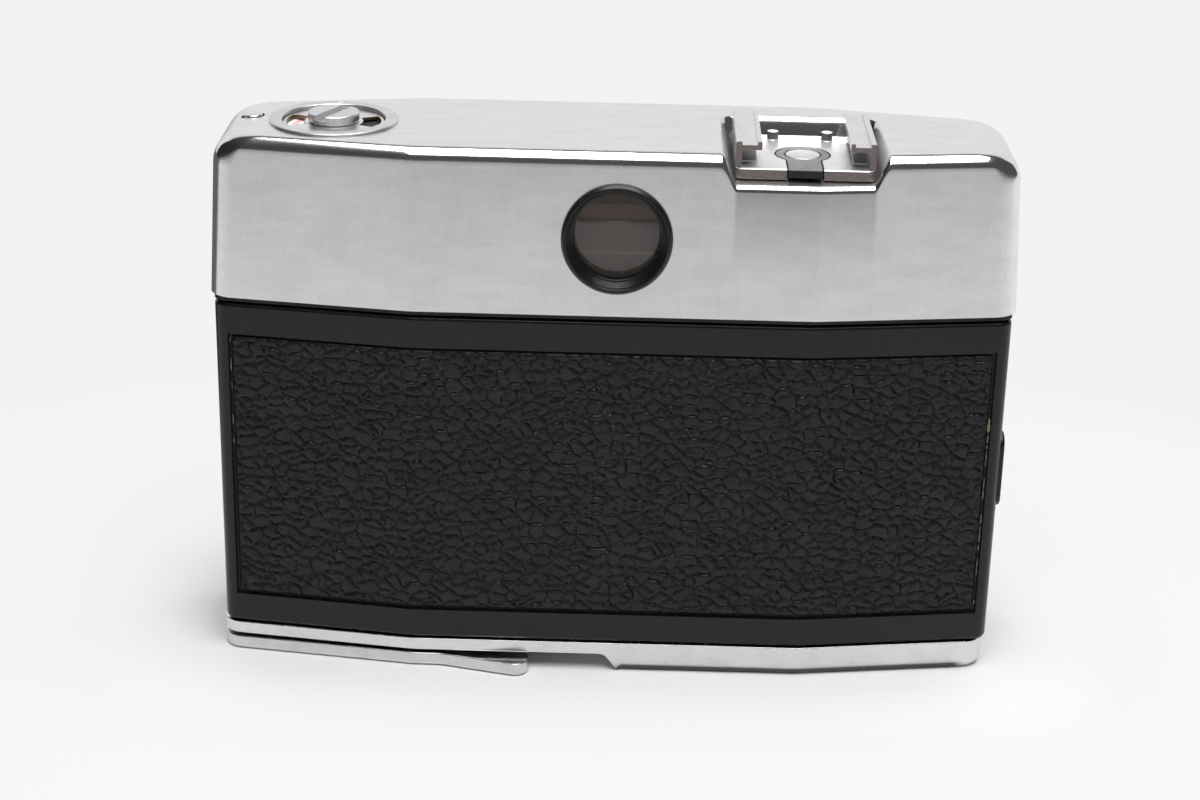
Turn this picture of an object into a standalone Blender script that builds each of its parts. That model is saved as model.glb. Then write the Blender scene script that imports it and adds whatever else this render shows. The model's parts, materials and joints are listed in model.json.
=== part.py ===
"""Half frame camera: an assembly of separate pieces, in metres, +Z up.

The lens looks along -Y, so the back door is at +Y. The wind lever, the frame counter and the
door hinge are at +X. The shoe, the rewind crank and the door latch are at -X. The lowest face
of the base plate is at z = 0, and the whole camera is centred on the Z axis.
"""
import math

import bmesh
import bpy
from mathutils import Matrix, Vector

for old in list(bpy.data.objects):
    bpy.data.objects.remove(old, do_unlink=True)

MM = 0.001

# ---------------------------------------------------------------- clearances
seat = 0.2 * MM            # between pieces that are fastened to each other
running = 0.3 * MM         # between pieces that move past each other
past = 1.0 * MM            # how far a cutter runs past the face it opens

# ---------------------------------------------------------------- small edges shared by many pieces
fine_bevel = 0.2 * MM
bevel = 0.3 * MM
rim_bevel = 0.5 * MM
sharp_round = 0.5 * MM
small_round = 0.8 * MM
piece_round = 1.2 * MM
soft_round = 1.6 * MM

# ---------------------------------------------------------------- outline seen from above
cover_width = 118.0 * MM
crease_x = 29.1 * MM               # where the middle facet ends
rear_slope = 0.147                 # how fast the end facets sweep forward at the back
front_slope = 0.195                # and backward at the front
cover_corner_radius = 4.2 * MM
crease_radius = 9.0 * MM
body_inset = 0.8 * MM              # the black body stands this far inside the cover's edge
body_side_inset = 0.6 * MM
body_front_inset = 0.4 * MM
body_corner_radius = 2.2 * MM
spool_depth = 16.3 * MM            # spool and cassette axes from the rear plane
cassette_front_wall = 1.53 * MM    # casting in front of the cassette chamber
cassette_end_wall = 5.35 * MM      # and beside it, at the latch's end
spool_end_wall = 5.7 * MM          # casting beside the spool chamber, at the hinge's end

# ---------------------------------------------------------------- heights
base_thickness = 4.65 * MM
lever_room = 2.75 * MM             # height of the space under the thin half of the base plate
body_height = 53.15 * MM           # from the base plate to the cover's lower edge
cover_height = 23.8 * MM
body_ledge = 2.2 * MM              # how far the casting reaches up inside the cover
door_gap = 1.1 * MM                # between the door and the cover
deck_thickness = 2.6 * MM
chamber_roof = 2.4 * MM            # from the chambers' ceiling up to the cover's lower edge

# ---------------------------------------------------------------- top cover
cover_wall = 0.9 * MM
cover_lean = math.radians(4.5)
end_round = 6.0 * MM
rear_round = 1.8 * MM
front_round = 1.5 * MM

# ---------------------------------------------------------------- finder
finder_x = -0.4 * MM
finder_rise = 11.3 * MM             # its axis above the cover's lower edge
eyepiece_radius = 8.0 * MM
eyepiece_stand = 1.0 * MM
eyepiece_glass_radius = 6.5 * MM
eyepiece_neck = 4.0 * MM
eyepiece_mouth = 6.75 * MM
eyepiece_step = 0.2 * MM
eyepiece_throat = 5.9 * MM
eyepiece_shoulder = 2.4 * MM
finder_tube_width = 16.6 * MM
finder_tube_height = 15.4 * MM
finder_tube_rear = 5.6 * MM
finder_tube_front = 3.6 * MM
finder_frame_stand = 0.5 * MM
finder_frame_depth = 1.8 * MM
finder_bed_face = 0.1 * MM
finder_glass_thickness = 1.6 * MM
finder_wall = 0.8 * MM
finder_window_width = 17.0 * MM
finder_window_height = 12.0 * MM
finder_bed_margin = 0.5 * MM
finder_lens_sink = 1.0 * MM
eyepiece_bulge = 0.25 * MM
finder_frame_border = 1.4 * MM

# ---------------------------------------------------------------- frame counter
counter_forward = 0.5 * MM         # counter and button axes behind the spool's
bezel_radius = 9.45 * MM
bezel_opening = 7.55 * MM
bezel_flange = 0.55 * MM
bezel_neck_wall = 0.5 * MM
bezel_neck_depth = 2.8 * MM
counter_plate_drop = 0.9 * MM      # plate below the bezel's upper face
counter_plate_thickness = 0.5 * MM
dial_thickness = 0.5 * MM
hub_radius = 3.75 * MM
hub_height = 1.45 * MM
hub_slot_width = 1.7 * MM
hub_slot_depth = 0.7 * MM
hub_slot_turn = math.radians(40)
counter_shaft_radius = 1.3 * MM
window_inner_radius = 4.3 * MM
window_outer_radius = 6.9 * MM
window_half_angle = math.radians(27)
button_offset = 12.1 * MM           # from the counter's axis
button_back = -1.0 * MM
button_stand = 0.15 * MM
button_cap = 2.2 * MM
counter_collar_radius = 2.6 * MM
counter_collar = 1.0 * MM
deck_hole_depth = 2.0 * MM
button_radius = 1.45 * MM
button_travel = 0.8 * MM
button_stem_radius = 0.8 * MM

# ---------------------------------------------------------------- accessory shoe
shoe_x = -26.95 * MM
shoe_width = 20.0 * MM
shoe_length = 18.0 * MM
shoe_rear = 4.2 * MM               # its back edge, in front of the cover's rear plane
shoe_base_thickness = 1.6 * MM
shoe_drop = 2.4 * MM               # its upper face below the cover's top
shoe_slot_height = 2.1 * MM
shoe_rail_width = 3.7 * MM
shoe_rail_wall = 0.75 * MM
shoe_rail_length = 17.2 * MM
shoe_lip_thickness = 1.5 * MM
shoe_rail_setback = 0.3 * MM
shoe_channel_width = 1.7 * MM
shoe_channel_depth = 0.5 * MM
shoe_spring_width = 2.2 * MM
shoe_spring_length = 13.0 * MM
shoe_spring_thickness = 0.25 * MM
shoe_spring_bow = 0.7 * MM
stop_radius = 0.85 * MM
stop_height = 1.8 * MM
stop_spread = 4.0 * MM
stop_from_front = 2.0 * MM
insulator_radius = 3.9 * MM
insulator_thickness = 1.2 * MM
insulator_lip = 0.5 * MM
tongue_width = 4.9 * MM
contact_radius = 2.5 * MM
contact_from_back = 8.0 * MM
recess_margin = 0.5 * MM           # around the shoe, at the floor of the recess
recess_flare = 1.7 * MM            # how much wider the recess is at its rim
recess_front_margin = 1.4 * MM

# ---------------------------------------------------------------- base plate and lever
base_inset = 1.1 * MM
base_left_inset = 0.1 * MM
base_right_inset = 1.0 * MM
step_x = 0.6 * MM                  # where the thick half of the base plate starts
step_run = 3.1 * MM
lever_thickness = 1.9 * MM
lever_ground = 0.2 * MM
lever_tip_x = 11.6 * MM
lever_tip_width = 5.2 * MM
lever_tip_round = 2.0 * MM
lever_tip_slope = 0.26             # how fast the lever's end leaves the base plate's edge
lever_edge_inset = 0.1 * MM
lever_bend_x = 25.0 * MM
lever_hub_radius = 12.5 * MM
lever_neck = 8.0 * MM
lever_left_depth = 21.0 * MM
lever_side_inset = 0.2 * MM
lever_shoulder = 9.5 * MM          # straight part of its front edge
lever_front_reach = 9.4 * MM       # from its axis to its front edge
lever_end_round = 3.0 * MM
lever_bend_round = 6.0 * MM
lever_inner_round = 1.5 * MM
lever_neck_round = 12.0 * MM
lever_hub_round = 7.0 * MM
lever_front_round = 5.0 * MM
wind_shaft_radius = 2.0 * MM
wind_screw_radius = 4.2 * MM
wind_screw_height = 0.7 * MM
wind_screw_shank = 1.4 * MM
wind_screw_sink = 0.1 * MM
screw_slot = 0.28                  # width of a screw's slot, as a share of the head's radius
rewind_knob_radius = 9.2 * MM
rewind_knob_thickness = 1.95 * MM
rewind_well_depth = 2.6 * MM
rewind_well_gap = 0.4 * MM
rewind_shaft_radius = 2.0 * MM
fork_collar_radius = 4.4 * MM
fork_collar = 1.0 * MM
fork_length = 5.0 * MM
fork_gap = 1.4 * MM
crank_ground = 0.3 * MM
crank_length = 12.6 * MM
crank_pin_offset = 6.6 * MM
crank_pin_drop = 0.05 * MM
crank_pin_bite = 1.2 * MM
crank_heel = 0.9 * MM
crank_width = 4.4 * MM
crank_thickness = 0.8 * MM
crank_handle_radius = 1.7 * MM
crank_handle_height = 1.0 * MM
crank_end_round = 1.98 * MM
crank_pin_radius = 0.35 * MM
tripod_x = -15.0 * MM
tripod_radius = 5.6 * MM
tripod_bore = 2.55 * MM
tripod_floor = 0.4 * MM
base_corner_radius = 3.4 * MM
base_screw_end = 4.5 * MM          # the end screw from the plate's end
base_screw_middle = 6.0 * MM
base_screw_offset = 9.0 * MM
base_screw_radius = 1.0 * MM
base_screw_head = 1.9 * MM
base_screw_head_height = 0.8 * MM
screw_sink = 0.15 * MM
screw_bite = 1.8 * MM

# ---------------------------------------------------------------- chambers and film path
cassette_radius = 12.55 * MM
spool_chamber_radius = 11.2 * MM
spool_flange_radius = 10.4 * MM
spool_core_radius = 6.2 * MM
spool_flange = 1.2 * MM
gate_width = 18.0 * MM
gate_height = 24.0 * MM
film_depth = 5.0 * MM              # plane of the film from the rear plane
gate_plate_width = 25.0 * MM
gate_plate_height = 38.0 * MM
gate_plate_thickness = 0.7 * MM
gate_rail_height = 0.25 * MM
gate_rail_width = 1.2 * MM
gate_rail_margin = 1.0 * MM
sprocket_wall = 0.9 * MM           # casting between the sprocket's well and the spool chamber
sprocket_radius = 5.95 * MM
sprocket_tooth = 1.1 * MM
sprocket_teeth = 8
sprocket_room = 7.4 * MM
sprocket_pivot_radius = 1.2 * MM
sprocket_row = 14.1 * MM
sprocket_rim_width = 1.8 * MM
sprocket_waist = 3.6 * MM
pivot_depth = 0.8 * MM
gate_margin = 1.5 * MM
spool_slot = 1.4 * MM

# ---------------------------------------------------------------- back door
door_panel = 1.4 * MM              # thickness of the rear panel with its leatherette
leather = 0.5 * MM
leather_seat = 0.15 * MM
leather_margin_x = 2.2 * MM
leather_margin_low = 4.75 * MM
leather_margin_high = 4.9 * MM
door_flange = 1.3 * MM             # thickness of its turned-in ends
door_split = 7.4 * MM              # depth of the latch-side flange from the rear corner
hinge_radius = 1.9 * MM
hinge_pin_radius = 0.7 * MM
hinge_depth = 4.4 * MM             # pin axis from the rear corner
hinge_knuckle_length = 12.0 * MM
hinge_margin = 4.8 * MM            # from the door's ends to its knuckles
hinge_swing_room = 3.0 * MM
latch_rise = 0.7 * MM              # its middle above the lens axis
latch_length = 11.8 * MM
latch_width = 4.4 * MM
latch_depth = 3.8 * MM             # its middle, from the rear corner
latch_travel = 2.6 * MM
latch_stand = 0.6 * MM
latch_pocket = 0.7 * MM
latch_neck_length = 3.0 * MM
latch_neck_width = 1.8 * MM
latch_hook_thickness = 0.7 * MM
latch_hook_room = 1.4 * MM
latch_floor_gap = 0.2 * MM
latch_end_share = 0.45             # radius of its ends, as a share of its width
plate_width = 26.0 * MM
plate_height = 34.0 * MM
plate_thickness = 0.8 * MM
plate_travel = 0.3 * MM
spring_width = 8.0 * MM
spring_length = 30.0 * MM
spring_thickness = 0.25 * MM

# ---------------------------------------------------------------- front and lens
front_plate_half = 24.5 * MM
front_plate_thickness = 1.0 * MM
front_plate_height = 47.0 * MM
front_plate_round = 3.0 * MM
front_leather_near = 25.4 * MM
release_leather_near = 36.0 * MM   # on the release's side
front_leather_margin = 2.4 * MM    # from the body's ends
housing_radius = 21.5 * MM
housing_depth = 6.2 * MM
tube_radius = 16.8 * MM
aperture_ring_width = 3.2 * MM
aperture_ring_radius = 20.8 * MM
focus_ring_width = 5.6 * MM
focus_ring_radius = 22.6 * MM
front_ring_radius = 19.6 * MM
front_ring_length = 3.0 * MM
mount_tube_radius = 12.4 * MM
mount_tube_length = 8.0 * MM
lens_bore = 9.4 * MM
rear_lens_bore = 7.4 * MM
rear_lens_radius = 7.2 * MM
rear_lens_thickness = 2.4 * MM
front_lens_radius = 9.1 * MM
front_lens_thickness = 2.6 * MM
front_lens_bulge = 1.1 * MM
front_lens_mouth = 9.6 * MM
front_ring_mouth = 15.0 * MM
front_ring_floor = 1.2 * MM
rear_lens_sink = 1.0 * MM
rear_lens_bulge = 0.3 * MM
aperture_knurls = 12
aperture_knurl_depth = 0.3 * MM
focus_knurls = 14
focus_knurl_depth = 0.6 * MM
shutter_room_depth = 3.4 * MM      # back of the blade room behind the drum's face
shutter_room = 1.9 * MM
shutter_room_radius = 18.0 * MM
shutter_blade_gap = 0.3 * MM
shutter_blade_thickness = 0.3 * MM
shutter_pivot = 12.6 * MM
shutter_pin_radius = 0.6 * MM
shutter_pin = 1.2 * MM
blade_radius = 6.2 * MM
stop_opening = 4.8 * MM             # radius of the light path through the shutter
stop_plate = 1.0 * MM
blade_lap = 0.5 * MM
blade_arm = 2.4 * MM
release_x = -31.0 * MM
release_rise = 8.6 * MM            # its middle above the lens axis
release_width = 5.0 * MM
release_length = 9.0 * MM
release_travel = 4.0 * MM
release_stand = 3.4 * MM
release_plate = 12.0 * MM
release_tongue = 0.8 * MM
release_depth = 1.5 * MM
release_sink = 0.4 * MM


# ================================================================ places that follow from the sizes
cover_bottom = base_thickness + body_height
cover_top = cover_bottom + cover_height
body_top = cover_bottom + body_ledge
door_top = cover_bottom - door_gap
chamber_top = cover_bottom - chamber_roof
finder_z = cover_bottom + finder_rise
shoe_base_top = cover_top - shoe_drop

body_half = cover_width / 2 - body_side_inset
base_half_left = cover_width / 2 - base_left_inset
base_half_right = cover_width / 2 - base_right_inset
spool_x = body_half - spool_end_wall - spool_chamber_radius
rewind_x = cassette_radius + cassette_end_wall - body_half
sprocket_x = spool_x - spool_chamber_radius - sprocket_wall - sprocket_room
button_x = spool_x + button_offset
base_screw_x = base_half_right - base_screw_end
front_leather_far = body_half - front_leather_margin
cassette_sweep = front_slope * (abs(rewind_x) - crease_x)
cover_depth = spool_depth + cassette_radius + cassette_front_wall + cassette_sweep

lever_edge = base_inset + lever_edge_inset
lever_corner = lever_tip_slope * (lever_bend_x - lever_tip_x) - lever_edge
lever_tip_reach = lever_corner - lever_tip_round * (math.hypot(1.0, lever_tip_slope) + lever_tip_slope - 1.0)
ring_stack = aperture_ring_width + focus_ring_width + 3 * running
plate_stack = body_front_inset - 2 * seat - front_plate_thickness
barrel_reach = housing_depth + ring_stack + seat + front_ring_length - plate_stack

rear_y = (cover_depth + barrel_reach - lever_tip_reach) / 2
front_y = rear_y - cover_depth
mid_y = rear_y - spool_depth
film_y = rear_y - film_depth
counter_y = mid_y + counter_forward
button_y = mid_y + button_back
body_bottom = base_thickness + seat
door_bottom = body_bottom + seat
chamber_bottom = body_bottom + deck_thickness
axis_z = (chamber_bottom + chamber_top) / 2     # optical axis of the taking lens

hinge_x = body_half - hinge_radius
corner_y = rear_y - body_inset - rear_slope * (body_half - crease_x)
hinge_y = corner_y - hinge_depth
latch_y = corner_y - latch_depth
split_y = corner_y - door_split
latch_z = axis_z + latch_rise
release_z = axis_z + release_rise
leather_bottom = door_bottom + leather_margin_low
leather_top = door_top - leather_margin_high
hinge_knuckle_low = door_bottom + hinge_margin
hinge_knuckle_end = door_top - hinge_margin
hinge_knuckle_mid = hinge_knuckle_low + hinge_knuckle_length
hinge_knuckle_high = hinge_knuckle_end - hinge_knuckle_length
sprocket_y = film_y - sprocket_radius - sprocket_tooth
gate_face = film_y - gate_rail_height                  # face of the film gate plate
gate_back = gate_face - gate_plate_thickness
door_leather_half = body_half - leather_margin_x
body_front = front_y + body_front_inset

knob_high = rewind_well_depth - running
knob_low = knob_high - rewind_knob_thickness
crank_low = crank_ground
crank_high = crank_low + crank_thickness
crank_pin_x = rewind_x + crank_pin_offset
crank_pin_z = crank_high - crank_pin_drop
crank_end_x = crank_pin_x - crank_length

bezel_face = cover_top + seat + bezel_flange
counter_plate_top = bezel_face - counter_plate_drop
counter_plate_low = counter_plate_top - counter_plate_thickness
dial_top = counter_plate_low - running
counter_at = (spool_x, counter_y, 0.0)

shoe_back = rear_y - shoe_rear
shoe_front = shoe_back - shoe_length
contact_y = shoe_back - contact_from_back

release_face = body_front + front_slope * max(0.0, abs(release_x) - crease_x)

housing_back = body_front - 2 * seat - front_plate_thickness
housing_front = housing_back - housing_depth
aperture_back = housing_front - running
focus_back = aperture_back - aperture_ring_width - running
tube_front = focus_back - focus_ring_width - running
lens_centre = (0.0, 0.0, axis_z)
blade_back = housing_front + shutter_room_depth
blade_front = blade_back - shutter_room
rear_lens_back = housing_back + mount_tube_length - rear_lens_sink


# ================================================================ helpers
def make_material(name, color, metallic, roughness):
    material = bpy.data.materials.new(name)
    material.use_nodes = True
    shader = material.node_tree.nodes["Principled BSDF"]
    shader.inputs["Base Color"].default_value = (*color, 1.0)
    shader.inputs["Metallic"].default_value = metallic
    shader.inputs["Roughness"].default_value = roughness
    material.diffuse_color = (*color, 1.0)
    return material


FINISHES = {
    "satin_chrome": ((0.62, 0.61, 0.60), 1.0, 0.32),
    "bright_chrome": ((0.75, 0.75, 0.74), 1.0, 0.12),
    "black_enamel": ((0.012, 0.012, 0.013), 0.0, 0.35),
    "black_casting": ((0.02, 0.02, 0.02), 0.0, 0.6),
    "leatherette": ((0.016, 0.016, 0.017), 0.0, 0.55),
    "black_plastic": ((0.01, 0.01, 0.01), 0.0, 0.25),
    "glass": ((0.2, 0.18, 0.16), 0.0, 0.03),
    "steel": ((0.5, 0.5, 0.5), 1.0, 0.35),
    "brass": ((0.55, 0.42, 0.2), 1.0, 0.35),
    "white_dial": ((0.85, 0.85, 0.83), 0.0, 0.5),
    "grey_plastic": ((0.25, 0.25, 0.26), 0.0, 0.5),
}


def add_mesh(name, bm, finish, origin=(0.0, 0.0, 0.0)):
    """A new object from a bmesh in world coordinates, with its origin at the given point."""
    bmesh.ops.remove_doubles(bm, verts=bm.verts, dist=1e-7)
    bmesh.ops.recalc_face_normals(bm, faces=bm.faces)
    bmesh.ops.translate(bm, verts=bm.verts, vec=-Vector(origin))
    mesh = bpy.data.meshes.new(name)
    bm.to_mesh(mesh)
    bm.free()
    mesh.shade_smooth()
    mesh.set_sharp_from_angle(angle=math.radians(28))
    obj = bpy.data.objects.new(name, mesh)
    obj.location = origin
    bpy.context.collection.objects.link(obj)
    mesh.materials.append(make_material(name + "_finish", *FINISHES[finish]))
    return obj


def add_cutter(name, bm):
    """A guide solid for a Boolean: the build leaves it out."""
    cutter = add_mesh(name, bm, "steel")
    cutter.hide_render = True
    cutter.display_type = "WIRE"
    return cutter


def combine(obj, operation, bm, label):
    """Cuts a solid from an object, or joins one to it."""
    cutter = add_cutter(f"{obj.name}_{label}", bm)
    modifier = obj.modifiers.new(label, "BOOLEAN")
    modifier.operation = operation
    modifier.solver = "EXACT"
    modifier.object = cutter
    return cutter


def cut(obj, bm, label):
    return combine(obj, "DIFFERENCE", bm, label)


def join(obj, bm, label):
    return combine(obj, "UNION", bm, label)


def loft(rings, closed=False):
    """Quads between rings of points, with a cap on both ends unless the rings close on themselves."""
    bm = bmesh.new()
    rows = [[bm.verts.new(point) for point in ring] for ring in rings]
    pairs = list(zip(rows, rows[1:]))
    if closed:
        pairs.append((rows[-1], rows[0]))
    for low, high in pairs:
        for i in range(len(low)):
            j = (i + 1) % len(low)
            bm.faces.new((low[i], low[j], high[j], high[i]))
    if not closed:
        bm.faces.new(list(reversed(rows[0])))
        bm.faces.new(rows[-1])
    return bm


def prism(points, low, high):
    """An upright solid over an outline seen from above."""
    return loft([[(x, y, z) for x, y in points] for z in (low, high)])


def slab(points, near, far):
    """A solid over an outline in X and Z, between two values of Y."""
    return loft([[(x, y, z) for x, z in points] for y in (near, far)])


def bar(points, near, far):
    """A solid over an outline in Y and Z, between two values of X."""
    return loft([[(x, y, z) for y, z in points] for x in (near, far)])


def box(low, high):
    (x0, y0, z0), (x1, y1, z1) = low, high
    return prism([(x0, y0), (x1, y0), (x1, y1), (x0, y1)], z0, z1)


def turned(profile, centre, axis="Z", segments=36):
    """A solid of revolution. The profile holds (radius, height) pairs along the axis.

    A profile that starts and ends at radius zero is capped by its own points; any other one
    closes on itself and leaves a bore.
    """
    solid = profile[0][0] == 0.0 and profile[-1][0] == 0.0
    rings = []
    for radius, height in profile[1:-1] if solid else profile:
        ring = []
        for k in range(segments):
            turn = 2 * math.pi * k / segments
            ring.append((radius * math.cos(turn), radius * math.sin(turn), height))
        rings.append(ring)
    bm = loft(rings, closed=not solid)
    if axis == "Y":
        bmesh.ops.rotate(bm, verts=bm.verts, matrix=Matrix.Rotation(math.pi / 2, 3, "X"))
    bmesh.ops.translate(bm, verts=bm.verts, vec=Vector(centre))
    return bm


def disc(radius, low, high, centre, axis="Z", segments=36):
    """A plain cylinder between two heights along its axis."""
    profile = [(0.0, low), (radius, low), (radius, high), (0.0, high)]
    return turned(profile, centre, axis, segments)


def rounded(points, radii, steps=4):
    """An outline whose corners are replaced by arcs, with this many steps in a right angle."""
    outline = []
    count = len(points)
    for i, radius in enumerate(radii):
        corner = Vector(points[i])
        before = Vector(points[i - 1]) - corner
        after = Vector(points[(i + 1) % count]) - corner
        room = min(before.length, after.length) / 2
        before.normalize()
        after.normalize()
        half = before.angle(after) / 2
        reach = min(radius / math.tan(half), room)
        radius = reach * math.tan(half)
        centre = corner + (before + after).normalized() * radius / math.sin(half)
        start = corner + before * reach - centre
        sweep = math.pi - 2 * half
        turn = 1.0 if before.cross(after) < 0 else -1.0
        parts = max(2, round(steps * sweep / (math.pi / 2)))
        for part in range(parts + 1):
            arm = start.copy()
            arm.rotate(Matrix.Rotation(turn * sweep * part / parts, 2))
            outline.append(tuple(centre + arm))
    return outline


def plan(inset=0.0, left=None, right=None, corner=cover_corner_radius, side_inset=None,
         front_inset=None, steps=5):
    """The camera's outline from above, each face moved in by its own amount."""
    side = inset if side_inset is None else side_inset
    front = inset if front_inset is None else front_inset
    left = cover_width / 2 - side if left is None else left
    right = cover_width / 2 - side if right is None else right
    rear = rear_y - inset
    face = front_y + front
    points = [
        (left, rear - rear_slope * (left - crease_x)),
        (crease_x, rear),
        (-crease_x, rear),
        (-right, rear - rear_slope * (right - crease_x)),
        (-right, face + front_slope * (right - crease_x)),
        (-crease_x, face),
        (crease_x, face),
        (left, face + front_slope * (left - crease_x)),
    ]
    radii = [corner, crease_radius, crease_radius, corner] * 2
    return rounded(points, radii, steps)


def round_rect(width, height, radius, centre=(0.0, 0.0), steps=4):
    cx, cy = centre
    w, h = width / 2, height / 2
    corners = [(cx - w, cy - h), (cx + w, cy - h), (cx + w, cy + h), (cx - w, cy + h)]
    return rounded(corners, [radius] * 4, steps)


def tilted(bm, pivot, lean=cover_lean):
    """Leans a solid with a face of the top cover: forward at the back, backward at the front."""
    bmesh.ops.rotate(bm, verts=bm.verts, cent=Vector(pivot), matrix=Matrix.Rotation(lean, 3, "X"))
    return bm


# ================================================================ top cover
def cover_rings(wall, bottom, top):
    """Outlines of the cover from its lower edge to its top, each a little further in."""
    shoulder = cover_top - end_round
    edge = cover_top - rear_round
    heights = [bottom, (cover_bottom + shoulder) / 2, shoulder]
    heights += [shoulder + (edge - shoulder) * k / 3 for k in (1, 2)]
    heights += [edge + (top - edge) * math.sin(math.radians(a)) for a in (0, 22, 45, 67, 90)]
    rings = []
    for z in heights:
        lean = (z - cover_bottom) * math.tan(cover_lean)
        end = end_round - math.sqrt(max(0.0, end_round ** 2 - max(0.0, z - shoulder) ** 2))
        rear = rear_round - math.sqrt(max(0.0, rear_round ** 2 - max(0.0, z - edge) ** 2))
        front = front_round / rear_round * rear
        outline = plan(inset=lean + rear + wall, side_inset=lean + end + wall,
                       front_inset=lean + front + wall)
        rings.append([(x, y, z) for x, y in outline])
    return rings


def recess_block(wall):
    """The pocket for the shoe: narrow at its floor, wider at its rim, open to the rear."""
    floor = shoe_base_top - shoe_base_thickness - seat - wall
    rim = cover_top + past
    half_floor = shoe_width / 2 + recess_margin + wall
    half_rim = half_floor + recess_flare
    front_edge = rear_y - shoe_rear - shoe_length - recess_margin - wall
    rear_edge = rear_y + past
    rings = []
    rim_front = front_edge - recess_front_margin
    for z, half, front in ((floor, half_floor, front_edge), (rim, half_rim, rim_front)):
        rings.append([(shoe_x - half, front, z), (shoe_x + half, front, z),
                      (shoe_x + half, rear_edge, z), (shoe_x - half, rear_edge, z)])
    return loft(rings)


def finder_pivot():
    """Centre of the eyepiece on the leaning rear face of the cover."""
    y = rear_y - (finder_z - cover_bottom) * math.tan(cover_lean)
    return Vector((finder_x, y, finder_z))


def build_top_cover():
    cover = add_mesh("top_cover", loft(cover_rings(0.0, cover_bottom, cover_top)), "satin_chrome")
    cut(cover, recess_block(0.0), "shoe_recess")
    inside = loft(cover_rings(cover_wall, cover_bottom - past, cover_top - cover_wall))
    hollow = cut(cover, inside, "inside")
    cut(hollow, recess_block(cover_wall), "shoe_recess")
    pivot = finder_pivot()
    bore = eyepiece_glass_radius + finder_wall + seat
    cut(cover, tilted(disc(bore, -past - rear_round, 4 * cover_wall, pivot, "Y"), pivot), "eyepiece_hole")
    neck = bezel_opening + bezel_neck_wall + seat
    cut(cover, disc(neck, -4 * cover_wall, past, (spool_x, counter_y, cover_top)), "counter_hole")
    button_hole = disc(button_radius + running, -4 * cover_wall, past, (button_x, button_y, cover_top),
                       segments=24)
    cut(cover, button_hole, "button_hole")
    opening = round_rect(finder_window_width, finder_window_height, small_round, (finder_x, finder_z))
    cut(cover, slab(opening, front_y - past, front_y + 4 * cover_wall), "finder_window")
    return cover


# ================================================================ body casting
def rear_line(inset, left, right):
    """Points along the rear facets, from +X to -X, moved in by an inset."""
    return [(x, rear_y - inset - rear_slope * max(0.0, abs(x) - crease_x))
            for x in (left, crease_x, -crease_x, -right)]


def front_line(inset, near, far):
    """Points along the front facets, from the middle outwards, moved in by an inset."""
    xs = [near, math.copysign(crease_x, far), far] if abs(near) < crease_x else [near, far]
    return [(x, front_y + inset + front_slope * max(0.0, abs(x) - crease_x)) for x in xs]


def strip(near_line, far_line):
    return near_line + list(reversed(far_line))


def hinge_tube(radius, low, high):
    return disc(radius, low, high, (hinge_x, hinge_y, 0.0), segments=24)


def door_space():
    """The room that the closed door and its hinge take from the casting."""
    clear = body_half - door_flange - running
    wide = cover_width
    split = split_y - running
    hinge_split = hinge_y - hinge_swing_room
    left = hinge_x - hinge_radius - running
    points = [(wide, rear_y + past), (-wide, rear_y + past), (-wide, split), (-clear, split)]
    points += list(reversed(rear_line(body_inset + door_panel + running, left, clear)))
    points += [(left, hinge_split), (wide, hinge_split)]
    return points


def body_outline():
    return plan(inset=body_inset, side_inset=body_side_inset, front_inset=body_front_inset,
                corner=body_corner_radius)


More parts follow.
